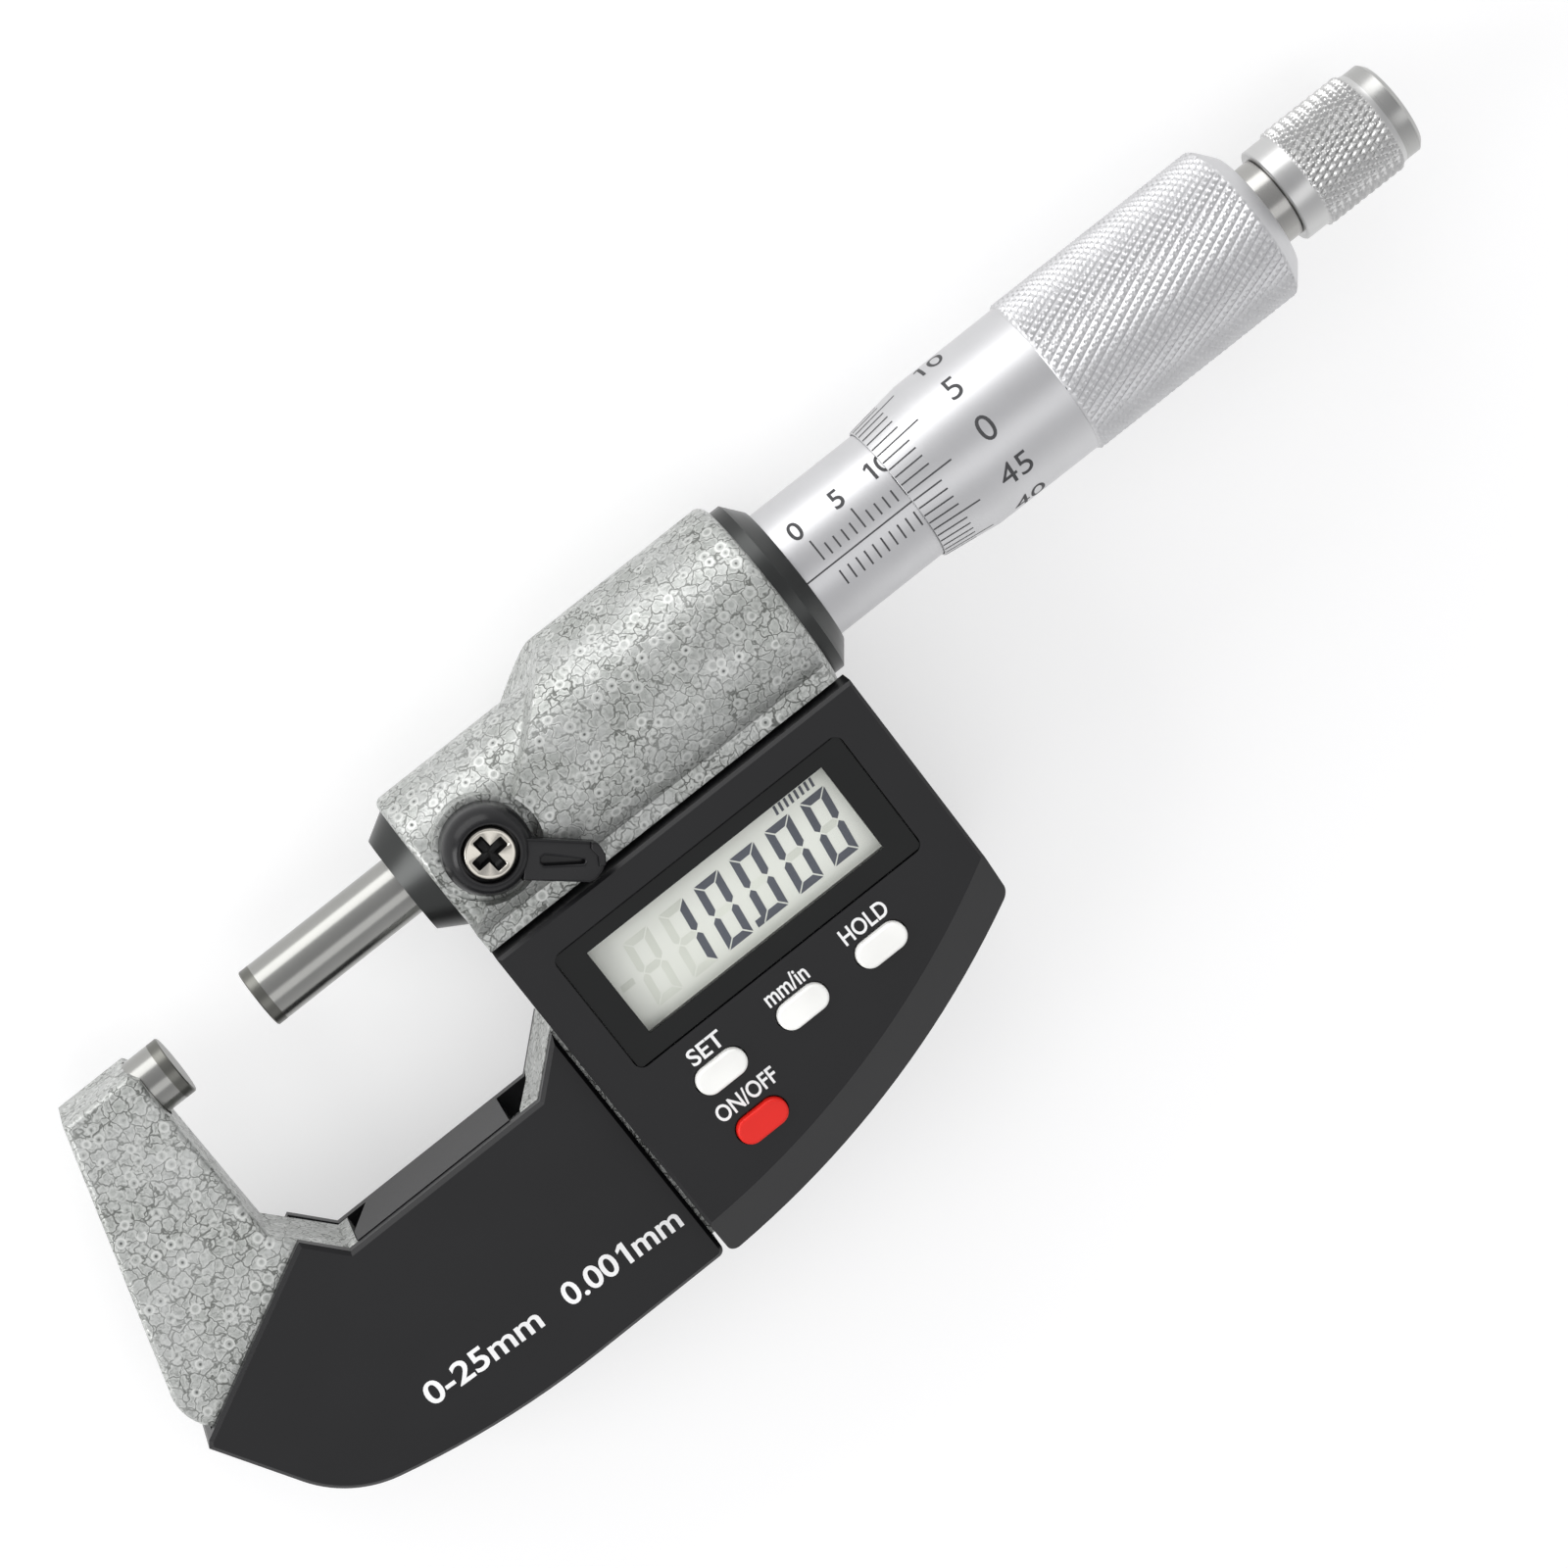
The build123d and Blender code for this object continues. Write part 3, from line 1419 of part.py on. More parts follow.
# Circuit board, cut round the case's bosses
with BuildPart() as circuit_board:
    with BuildSketch(Plane.XY.offset(board_height)):
        add(case_outline(case_wall + board_edge_clearance))
        with Locations(*case_screw_places):
            Circle(case_boss_radius + screw_hole_clearance, mode=Mode.SUBTRACT)
        with Locations(*board_screw_places):
            Circle(board_screw_radius + assembly_clearance, mode=Mode.SUBTRACT)
    extrude(amount=board_thickness)
circuit_board.part.label = "circuit_board"
export_step(circuit_board.part, "parts/circuit_board.step")

# Small screws that hold the board on the front shell
with BuildPart() as board_screws:
    with BuildSketch(Plane.XY.offset(board_height)):
        with Locations(*board_screw_places):
            Circle(board_screw_head_radius)
    extrude(amount=-board_screw_head_height)
    with BuildSketch(Plane.XY.offset(board_height)):
        with Locations(*board_screw_places):
            Circle(board_screw_radius)
    extrude(amount=board_thickness + board_screw_bite)
board_screws.part.label = "board_screws"
export_step(board_screws.part, "parts/board_screws.step")

# Silicone pad with a dome under each button
with BuildPart() as button_pad:
    row_middle = (set_button_place[0] + hold_button_place[0]) / 2
    row_length = hold_button_place[0] - set_button_place[0] + button_length
    bridge_middle = (set_button_place[1] + power_button_place[1]) / 2
    with BuildSketch(Plane.XY.offset(board_face)):
        with Locations((row_middle, set_button_place[1])):
            SlotOverall(row_length + 2 * pad_margin, button_width + 2 * pad_margin)
        with Locations(power_button_place):
            SlotOverall(button_length + 2 * pad_margin, button_width + 2 * pad_margin)
        with Locations((power_button_place[0], bridge_middle)):
            Rectangle(button_width, set_button_place[1] - power_button_place[1])
    extrude(amount=pad_sheet_thickness)
    with BuildSketch(Plane.XY.offset(board_face + pad_sheet_thickness)):
        with Locations(set_button_place, unit_button_place, hold_button_place, power_button_place):
            SlotOverall(button_length - button_width / 2, button_width / 2)
    extrude(amount=pad_dome_height)
button_pad.part.label = "button_pad"
export_step(button_pad.part, "parts/button_pad.step")


def push_button(place):
    """A stadium-shaped push button with a flange under the housing's face."""
    flange_top = case_inner_face - assembly_clearance
    foot = board_face + pad_sheet_thickness + pad_dome_height + button_travel + assembly_clearance / 2
    with BuildPart() as button:
        with BuildSketch(Plane.XY.offset(foot)):
            with Locations(place):
                SlotOverall(button_length - button_width / 2, button_width / 2)
        extrude(amount=flange_top - foot)
        with BuildSketch(Plane.XY.offset(flange_top - button_flange_thickness)):
            with Locations(place):
                SlotOverall(button_length + 2 * button_flange, button_width + 2 * button_flange)
        extrude(amount=button_flange_thickness)
        with BuildSketch(Plane.XY.offset(flange_top)):
            with Locations(place):
                SlotOverall(button_length, button_width)
        extrude(amount=case_front + button_proud - flange_top)
        fillet(button.edges().group_by(Axis.Z)[-1], button_edge)
    return button.part


# White button that sets the zero
with BuildPart() as set_button:
    add(push_button(set_button_place))
set_button.part.label = "set_button"
export_step(set_button.part, "parts/set_button.step")

# White button that changes the unit
with BuildPart() as unit_button:
    add(push_button(unit_button_place))
unit_button.part.label = "unit_button"
export_step(unit_button.part, "parts/unit_button.step")

# White button that holds the reading
with BuildPart() as hold_button:
    add(push_button(hold_button_place))
hold_button.part.label = "hold_button"
export_step(hold_button.part, "parts/hold_button.step")

# Red button that switches the display on and off
with BuildPart() as power_button:
    add(push_button(power_button_place))
power_button.part.label = "power_button"
export_step(power_button.part, "parts/power_button.step")

# Coin cell lying on its lid
with BuildPart() as battery:
    with BuildSketch(Plane.XY.offset(lid_inside)):
        with Locations(battery_place):
            Circle(battery_radius)
    extrude(amount=battery_height)
    chamfer(battery.edges().group_by(Axis.Z)[0] + battery.edges().group_by(Axis.Z)[-1], button_edge)
battery.part.label = "battery"
export_step(battery.part, "parts/battery.step")

# Spring leaves that touch the cell's end and its side
with BuildPart() as battery_contacts:
    with BuildSketch(Plane.XY.offset(well_ceiling)):
        with Locations(battery_place):
            Rectangle(contact_length, contact_width)
    extrude(amount=-contact_thickness)
    with BuildSketch(Plane.XY.offset(floor_inside)):
        with Locations((battery_place[0] + battery_radius + contact_thickness, battery_place[1])):
            Rectangle(contact_thickness, contact_width)
    extrude(amount=well_ceiling - floor_inside)
battery_contacts.part.label = "battery_contacts"
export_step(battery_contacts.part, "parts/battery_contacts.step")

# Two pins that carry the current through the leg to the board
with BuildPart() as battery_leads:
    with BuildSketch(Plane.XY.offset(well_ceiling)):
        with Locations(battery_place):
            with GridLocations(lead_spacing, 0, 2, 1):
                Circle(lead_radius)
    extrude(amount=board_height - well_ceiling)
battery_leads.part.label = "battery_leads"
export_step(battery_leads.part, "parts/battery_leads.step")

# Round lid with two bayonet tabs and a coin slot
with BuildPart() as battery_cover:
    with BuildSketch(Plane.XY.offset(lid_face)):
        with Locations(battery_place):
            Circle(lid_radius)
    extrude(amount=lid_thickness)
    with BuildSketch(Plane.XY.offset(lid_inside - lid_tab_thickness)):
        with Locations(battery_place):
            Rectangle(2 * (lid_radius + lid_tab_length), lid_tab_width)
            Circle(lid_radius + lid_tab_length, mode=Mode.INTERSECT)
    extrude(amount=lid_tab_thickness)
    with BuildSketch(Plane.XY.offset(lid_face)):
        with Locations(battery_place):
            SlotOverall(lid_slot_length, lid_slot_width)
    extrude(amount=lid_slot_depth, mode=Mode.SUBTRACT)
battery_cover.part.label = "battery_cover"
export_step(battery_cover.part, "parts/battery_cover.step")

# Flat cable from the encoder down through the leg's slot to the board
with BuildPart() as encoder_cable:
    with BuildSketch(Plane.YZ.offset(cable_middle - cable_width / 2)):
        with BuildLine():
            Polyline(
                (-chamber_radius - fit_clearance, 0),
                (-cable_bend_depth, 0),
                (-cable_bend_depth - cable_rise, board_height - cable_thickness),
                (-cable_bend_depth - cable_rise - cable_landing, board_height - cable_thickness),
                (-cable_bend_depth - cable_rise - cable_landing, board_height),
                (-cable_bend_depth - cable_rise, board_height),
                (-cable_bend_depth, cable_thickness),
                (-chamber_radius - fit_clearance, cable_thickness),
                close=True,
            )
        make_face()
    extrude(amount=cable_width)
encoder_cable.part.label = "encoder_cable"
export_step(encoder_cable.part, "parts/encoder_cable.step")
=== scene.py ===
"""Looks of a digital outside micrometer, lying on its back with the display up."""

import math

import bmesh
import bpy
from mathutils import Matrix, Vector


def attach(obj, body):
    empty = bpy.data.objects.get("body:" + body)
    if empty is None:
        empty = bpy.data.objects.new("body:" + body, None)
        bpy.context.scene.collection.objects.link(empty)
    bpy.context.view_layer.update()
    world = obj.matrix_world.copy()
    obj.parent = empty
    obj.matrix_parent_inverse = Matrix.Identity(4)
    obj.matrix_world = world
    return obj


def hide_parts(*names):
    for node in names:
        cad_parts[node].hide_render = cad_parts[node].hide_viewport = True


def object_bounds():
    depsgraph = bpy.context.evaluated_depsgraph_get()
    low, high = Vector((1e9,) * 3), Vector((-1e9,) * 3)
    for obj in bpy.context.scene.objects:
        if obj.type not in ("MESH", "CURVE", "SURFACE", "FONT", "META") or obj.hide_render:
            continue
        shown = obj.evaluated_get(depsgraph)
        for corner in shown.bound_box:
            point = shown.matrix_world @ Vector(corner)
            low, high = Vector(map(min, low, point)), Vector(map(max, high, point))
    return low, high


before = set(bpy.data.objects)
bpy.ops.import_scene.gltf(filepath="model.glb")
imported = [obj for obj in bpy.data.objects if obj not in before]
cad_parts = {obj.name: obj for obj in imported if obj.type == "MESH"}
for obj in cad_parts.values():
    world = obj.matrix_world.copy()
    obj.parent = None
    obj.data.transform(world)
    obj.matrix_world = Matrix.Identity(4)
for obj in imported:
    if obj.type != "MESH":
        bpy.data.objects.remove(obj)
cad_low, cad_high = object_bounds()
mm = 0.001

# Camera: a long lens above the bow, turned so that the spindle runs up to the right.
# It leans a little over the barrel, which shows the side of the throat.
camera_place = Vector((40.7, 112.9, 469.0)) * mm
camera_roll = math.radians(38.2)
camera_tilt = Vector((0.1824, -0.2007, 0.0029))
rolled = Matrix(
    (
        (math.cos(camera_roll), -math.sin(camera_roll), 0),
        (-math.sin(camera_roll), -math.cos(camera_roll), 0),
        (0, 0, -1),
    )
)
aim = Matrix.Rotation(camera_tilt.length, 3, camera_tilt.normalized()) @ rolled
camera_data = bpy.data.cameras.new("camera")
camera_data.sensor_width = 36
camera_data.lens = 115.12
camera = bpy.data.objects.new("camera", camera_data)
bpy.context.scene.collection.objects.link(camera)
camera.matrix_world = Matrix.Translation(camera_place) @ Matrix(
    (aim[0], -aim[1], -aim[2])
).transposed().to_4x4()
bpy.context.scene.camera = camera

# Bench and light: a white sweep of paper with two long softboxes along the measuring axis.
# The key lies low on the barrel's side, the fill stands higher on the bow's side, and a small
# softbox lights the anvil's end. The paper is clear from below, so that the back can be seen.


def new_finish(name):
    """A material with its node tree and its Principled shader."""
    material = bpy.data.materials.new(name)
    material.use_nodes = True
    return material, material.node_tree, material.node_tree.nodes["Principled BSDF"]


def shown_white(tree, ray, *kinds):
    """A mask that is one where a ray of these kinds meets the background."""
    mask = ray.outputs["Is Camera Ray"]
    for kind in kinds:
        either = tree.nodes.new("ShaderNodeMath")
        either.operation = "MAXIMUM"
        tree.links.new(mask, either.inputs[0])
        tree.links.new(ray.outputs[kind], either.inputs[1])
        mask = either.outputs[0]
    return mask


bpy.context.scene.view_settings.view_transform = "Standard"
world = bpy.data.worlds.new("studio")
bpy.context.scene.world = world
world.use_nodes = True
studio = world.node_tree
background = studio.nodes["Background"]
direction = studio.nodes.new("ShaderNodeTexCoord")
sky_slope = studio.nodes.new("ShaderNodeVectorMath")
sky_slope.operation = "DOT_PRODUCT"
sky_slope.inputs[1].default_value = (0.0, -0.1, 1.0)
sky = studio.nodes.new("ShaderNodeValToRGB")
sky.color_ramp.elements[0].position = 0.0
sky.color_ramp.elements[0].color = (1.0, 1.0, 1.0, 1)
sky.color_ramp.elements[1].position = 1.0
sky.color_ramp.elements[1].color = (0.48, 0.48, 0.49, 1)
middle = sky.color_ramp.elements.new(0.45)
middle.color = (0.74, 0.74, 0.75, 1)
studio.links.new(direction.outputs["Generated"], sky_slope.inputs[0])
studio.links.new(sky_slope.outputs["Value"], sky.inputs[0])
ray = studio.nodes.new("ShaderNodeLightPath")
paper = studio.nodes.new("ShaderNodeMix")
paper.data_type = "RGBA"
paper.inputs["B"].default_value = (1, 1, 1, 1)
studio.links.new(shown_white(studio, ray, "Is Transmission Ray"), paper.inputs["Factor"])
studio.links.new(sky.outputs[0], paper.inputs["A"])
studio.links.new(paper.outputs["Result"], background.inputs["Color"])

subject = Vector((70, -12, 0)) * mm
for name, place, width, height, power in (
    ("key_softbox", (70, 560, 140), 0.8, 0.42, 2.0),
    ("fill_softbox", (40, -170, 590), 0.8, 0.3, 0.6),
    ("end_softbox", (-420, 160, 260), 0.3, 0.3, 1.2),
):
    lamp = bpy.data.lights.new(name, "AREA")
    lamp.shape = "RECTANGLE"
    lamp.size = width
    lamp.size_y = height
    lamp.energy = power
    holder = bpy.data.objects.new(name, lamp)
    holder.location = Vector(place) * mm
    holder.rotation_euler = (subject - holder.location).to_track_quat("-Z", "Y").to_euler()
    bpy.context.scene.collection.objects.link(holder)

floor_mesh = bpy.data.meshes.new("paper_floor")
floor_reach = 3.0
floor_height = cad_low[2] - 0.05 * mm
floor_mesh.from_pydata(
    [
        (x * floor_reach, y * floor_reach, floor_height)
        for x, y in ((-1, -1), (1, -1), (1, 1), (-1, 1))
    ],
    [],
    [(0, 1, 2, 3)],
)
floor = bpy.data.objects.new("paper_floor", floor_mesh)
bpy.context.scene.collection.objects.link(floor)
paper_finish, tree, shader = new_finish("white_paper")
shader.inputs["Base Color"].default_value = (0.56, 0.56, 0.56, 1)
shader.inputs["Roughness"].default_value = 0.9
shader.inputs["Specular IOR Level"].default_value = 0.0
ray = tree.nodes.new("ShaderNodeLightPath")
lift = tree.nodes.new("ShaderNodeMath")
lift.operation = "MULTIPLY"
lift.inputs[1].default_value = 0.5
tree.links.new(shown_white(tree, ray, "Is Glossy Ray", "Is Transmission Ray"), lift.inputs[0])
shader.inputs["Emission Color"].default_value = (1, 1, 1, 1)
tree.links.new(lift.outputs[0], shader.inputs["Emission Strength"])
side = tree.nodes.new("ShaderNodeNewGeometry")
clear_below = tree.nodes.new("ShaderNodeMath")
clear_below.operation = "SUBTRACT"
clear_below.inputs[0].default_value = 1.0
tree.links.new(side.outputs["Backfacing"], clear_below.inputs[1])
tree.links.new(clear_below.outputs[0], shader.inputs["Alpha"])
floor_mesh.materials.append(paper_finish)


def new_effect(name, inputs, outputs):
    """An effect that several finishes share: a node group with named inputs and outputs."""
    group = bpy.data.node_groups.new(name, "ShaderNodeTree")
    for label, kind, value in inputs:
        socket = group.interface.new_socket(label, in_out="INPUT", socket_type=kind)
        socket.default_value = value
    for label, kind in outputs:
        group.interface.new_socket(label, in_out="OUTPUT", socket_type=kind)
    return group, group.nodes.new("NodeGroupInput"), group.nodes.new("NodeGroupOutput")


def place_effect(tree, group, **values):
    """The effect placed in a finish, with its own values."""
    node = tree.nodes.new("ShaderNodeGroup")
    node.node_tree = group
    for label, value in values.items():
        node.inputs[label].default_value = value
    return node


def calculate(tree, operation, first, second=None):
    """A Math node whose inputs are sockets or plain numbers."""
    node = tree.nodes.new("ShaderNodeMath")
    node.operation = operation
    for index, value in enumerate((first, second)):
        if value is None:
            continue
        if isinstance(value, (int, float)):
            node.inputs[index].default_value = value
        else:
            tree.links.new(value, node.inputs[index])
    return node.outputs[0]


def remap(tree, value, low, high, new_low, new_high, smooth=True):
    """A Map Range node that takes low to new_low and high to new_high."""
    node = tree.nodes.new("ShaderNodeMapRange")
    node.interpolation_type = "SMOOTHSTEP" if smooth else "LINEAR"
    tree.links.new(value, node.inputs["Value"])
    limits = (("From Min", low), ("From Max", high), ("To Min", new_low), ("To Max", new_high))
    for label, number in limits:
        node.inputs[label].default_value = number
    return node.outputs["Result"]


def blend_colours(tree, mask, first, second):
    """A colour mix by a mask."""
    node = tree.nodes.new("ShaderNodeMix")
    node.data_type = "RGBA"
    tree.links.new(mask, node.inputs["Factor"])
    for label, value in (("A", first), ("B", second)):
        if isinstance(value, tuple):
            node.inputs[label].default_value = (*value, 1)
        else:
            tree.links.new(value, node.inputs[label])
    return node.outputs["Result"]


def millimetres(tree):
    """The piece's own coordinates in millimetres."""
    place = tree.nodes.new("ShaderNodeTexCoord")
    scale = tree.nodes.new("ShaderNodeVectorMath")
    scale.operation = "SCALE"
    scale.inputs["Scale"].default_value = 1 / mm
    tree.links.new(place.outputs["Object"], scale.inputs[0])
    return scale.outputs[0]


def raise_surface(tree, shader, height, depth, strength=1.0):
    """Feeds a height to the shader's normal. A height of one stands depth millimetres proud."""
    bump = tree.nodes.new("ShaderNodeBump")
    bump.inputs["Strength"].default_value = strength
    bump.inputs["Distance"].default_value = depth * mm
    tree.links.new(height, bump.inputs["Height"])
    tree.links.new(bump.outputs["Normal"], shader.inputs["Normal"])


def give(material, *nodes):
    """Puts a finish on the model's own nodes."""
    for node in nodes:
        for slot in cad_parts[node].material_slots:
            slot.material = material


# Casting: the frame is one iron casting, machined at the bores and sprayed with hammertone paint.
# The paint draws together into rounded cells with sunken seams, and here and there it leaves a
# raised ring with a pit in its middle. Shade is painted dark into the seams, creases and pits, and
# highlight is painted light on the cells' raised rims and on the rings.
cells_per_mm = 0.85
creases_per_mm = 1.7
rings_per_mm = 0.56
dark_grey = (0.39, 0.405, 0.385)
light_grey = (0.48, 0.49, 0.48)
mottled_grey = (0.30, 0.31, 0.295)
# Painted highlight colour for the raised rims and rings.
painted_highlight_grey = (0.64, 0.65, 0.63)
# Painted shade colours for the sunken seams and creases, and for the pits.
seam_shade_grey = (0.12, 0.125, 0.115)
pit_shade_grey = (0.10, 0.105, 0.10)
hammertone, tree, shader = new_finish("hammertone_paint")
here = millimetres(tree)
wander = tree.nodes.new("ShaderNodeTexNoise")
wander.inputs["Scale"].default_value = 1.3
wander.inputs["Detail"].default_value = 1.0
tree.links.new(here, wander.inputs["Vector"])
shift = tree.nodes.new("ShaderNodeVectorMath")
shift.operation = "MULTIPLY_ADD"
shift.inputs[1].default_value = (1.0, 1.0, 1.0)
tree.links.new(wander.outputs["Color"], shift.inputs[0])
tree.links.new(here, shift.inputs[2])


def cells(tree, feature, scale, vector):
    """A cell pattern in the paint."""
    node = tree.nodes.new("ShaderNodeTexVoronoi")
    node.feature = feature
    node.inputs["Scale"].default_value = scale
    tree.links.new(vector, node.inputs["Vector"])
    return node


def combine(tree, operation, first, second):
    """A Vector Math node with two linked vectors."""
    node = tree.nodes.new("ShaderNodeVectorMath")
    node.operation = operation
    tree.links.new(first, node.inputs[0])
    tree.links.new(second, node.inputs[1])
    return node


edge = cells(tree, "DISTANCE_TO_EDGE", cells_per_mm, shift.outputs[0]).outputs["Distance"]
fine_edge = cells(tree, "DISTANCE_TO_EDGE", creases_per_mm, shift.outputs[0]).outputs["Distance"]
broad = tree.nodes.new("ShaderNodeTexNoise")
broad.inputs["Scale"].default_value = 0.22
broad.inputs["Detail"].default_value = 3.0
tree.links.new(here, broad.inputs["Vector"])
patchy = tree.nodes.new("ShaderNodeTexNoise")
patchy.inputs["Scale"].default_value = 2.6
patchy.inputs["Detail"].default_value = 2.0
tree.links.new(here, patchy.inputs["Vector"])

# Each ring is a circle in the surface round the pattern's nearest point, if that lies close by.
crater = cells(tree, "F1", rings_per_mm, here)
facing = tree.nodes.new("ShaderNodeTexCoord").outputs["Normal"]
offset = combine(tree, "SUBTRACT", here, crater.outputs["Position"]).outputs[0]
depth = combine(tree, "DOT_PRODUCT", offset, facing).outputs["Value"]
reach = combine(tree, "DOT_PRODUCT", offset, offset).outputs["Value"]
flat_reach = calculate(tree, "SUBTRACT", reach, calculate(tree, "MULTIPLY", depth, depth))
from_centre = calculate(tree, "SQRT", calculate(tree, "MAXIMUM", flat_reach, 0.0))
chance = tree.nodes.new("ShaderNodeSeparateColor")
tree.links.new(crater.outputs["Color"], chance.inputs[0])
near = remap(tree, calculate(tree, "ABSOLUTE", depth), 0.55, 0.75, 1.0, 0.0)
ringed = calculate(tree, "MULTIPLY", near, remap(tree, chance.outputs[0], 0.0, 0.9, 0.3, 1.0))
pitted = remap(tree, chance.outputs[1], 0.35, 0.7, 0.2, 1.0)
ring_size = remap(tree, chance.outputs[2], 0.0, 1.0, 0.34, 0.5, smooth=False)
crest = calculate(tree, "SUBTRACT", from_centre, ring_size)
ring = remap(tree, calculate(tree, "ABSOLUTE", crest), 0.03, 0.22, 0.8, 0.0)
ring = calculate(tree, "MULTIPLY", ring, ringed)
pit = calculate(tree, "MULTIPLY", remap(tree, from_centre, 0.06, 0.2, 1.0, 0.0), ringed)
pit = calculate(tree, "MULTIPLY", pit, pitted)
outside = remap(tree, crest, 0.02, 0.16, 0.0, 1.0)
outside = calculate(tree, "MAXIMUM", outside, calculate(tree, "SUBTRACT", 1.0, ringed))
seams = remap(tree, edge, 0.01, 0.075, 1.0, 0.0)
creases = remap(tree, fine_edge, 0.01, 0.12, 0.45, 0.0)
creased = remap(tree, patchy.outputs["Fac"], 0.4, 0.6, 0.25, 1.0)
creases = calculate(tree, "MULTIPLY", creases, creased)
seams = calculate(tree, "MAXIMUM", seams, creases)
seam_strength = remap(tree, broad.outputs["Fac"], 0.35, 0.6, 0.95, 0.6)
seams = calculate(tree, "MULTIPLY", seams, seam_strength)
seams = calculate(tree, "MULTIPLY", seams, outside)
rim_inside = remap(tree, edge, 0.11, 0.24, 0.42, 0.0)
rim = calculate(tree, "MULTIPLY", remap(tree, edge, 0.05, 0.1, 0.0, 1.0), rim_inside)
rim = calculate(tree, "MULTIPLY", rim, outside)
tint = remap(tree, broad.outputs["Fac"], 0.3, 0.7, 0.0, 1.0)
paint = blend_colours(tree, tint, dark_grey, light_grey)
mottle = remap(tree, patchy.outputs["Fac"], 0.35, 0.65, 0.0, 0.35)
paint = blend_colours(tree, mottle, paint, mottled_grey)
# Painted highlight: the raised rims inside the cells' edges are painted lighter.
paint = blend_colours(tree, rim, paint, painted_highlight_grey)
# Painted shade: the sunken seams and creases are painted dark.
paint = blend_colours(tree, seams, paint, seam_shade_grey)
# Painted highlight: the raised rings are painted lighter.
paint = blend_colours(tree, ring, paint, painted_highlight_grey)
# Painted shade: the pits in the rings are painted dark.
paint = blend_colours(tree, pit, paint, pit_shade_grey)
tree.links.new(paint, shader.inputs["Base Color"])
tree.links.new(remap(tree, seams, 0.0, 1.0, 0.3, 0.5), shader.inputs["Roughness"])
shader.inputs["Metallic"].default_value = 0.38
relief = calculate(tree, "MULTIPLY", rim, 0.5)
relief = calculate(tree, "ADD", relief, calculate(tree, "MULTIPLY", ring, 0.5))
relief = calculate(tree, "SUBTRACT", relief, calculate(tree, "MULTIPLY", pit, 0.8))
relief = calculate(tree, "SUBTRACT", relief, calculate(tree, "MULTIPLY", seams, 0.5))
raise_surface(tree, shader, relief, 0.05, 0.8)
give(hammertone, "frame")

# Anvil and spindle: hardened steel bars, ground round and lapped, with brazed carbide discs.
# The grinding leaves fine rings round the axis.
turned_marks, inputs, outputs = new_effect(
    "turned_marks",
    [
        ("Lines", "NodeSocketFloat", 14.0),
        ("Low", "NodeSocketFloat", 0.2),
        ("High", "NodeSocketFloat", 0.32),
    ],
    [("Roughness", "NodeSocketFloat"), ("Height", "NodeSocketFloat")],
)
spot = millimetres(turned_marks)
parts = turned_marks.nodes.new("ShaderNodeSeparateXYZ")
turned_marks.links.new(spot, parts.inputs[0])
across = calculate(
    turned_marks,
    "ADD",
    calculate(turned_marks, "POWER", parts.outputs["Y"], 2.0),
    calculate(turned_marks, "POWER", parts.outputs["Z"], 2.0),
)
along = calculate(turned_marks, "ADD", parts.outputs["X"], calculate(turned_marks, "SQRT", across))
lines = turned_marks.nodes.new("ShaderNodeTexNoise")
lines.noise_dimensions = "1D"
lines.inputs["Scale"].default_value = 1.0
lines.inputs["Detail"].default_value = 3.0
turned_marks.links.new(
    calculate(turned_marks, "MULTIPLY", along, inputs.outputs["Lines"]), lines.inputs["W"]
)
spread = calculate(turned_marks, "SUBTRACT", inputs.outputs["High"], inputs.outputs["Low"])
spread = calculate(turned_marks, "MULTIPLY", spread, lines.outputs["Fac"])
spread = calculate(turned_marks, "ADD", spread, inputs.outputs["Low"])
turned_marks.links.new(spread, outputs.inputs["Roughness"])
turned_marks.links.new(lines.outputs["Fac"], outputs.inputs["Height"])


def turned_metal(name, colour, low, high, lines, depth):
    """A turned or ground metal finish: roughness from low to high, with lines to a millimetre."""
    material, tree, shader = new_finish(name)
    marks = place_effect(tree, turned_marks, Lines=lines, Low=low, High=high)
    stain = tree.nodes.new("ShaderNodeTexNoise")
    stain.inputs["Scale"].default_value = 0.35
    tree.links.new(millimetres(tree), stain.inputs["Vector"])
    shade = tuple(part * 0.93 for part in colour)
    tree.links.new(blend_colours(tree, stain.outputs["Fac"], shade, colour), shader.inputs["Base Color"])
    shader.inputs["Metallic"].default_value = 1.0
    tree.links.new(marks.outputs["Roughness"], shader.inputs["Roughness"])
    raise_surface(tree, shader, marks.outputs["Height"], depth, 0.5)
    return material


ground_steel = turned_metal("ground_steel", (0.36, 0.36, 0.345), 0.16, 0.26, 9.0, 0.0008)
carbide = turned_metal("lapped_carbide", (0.17, 0.17, 0.155), 0.26, 0.36, 6.0, 0.002)
give(ground_steel, "anvil", "spindle")
give(carbide, "anvil_tip", "spindle_tip")

# Front collar and rear ring: turned steel, blacked, that close the two ends of the barrel.
blacked_steel = turned_metal("blacked_steel", (0.062, 0.064, 0.063), 0.26, 0.38, 5.0, 0.004)
give(blacked_steel, "front_collar", "rear_ring")

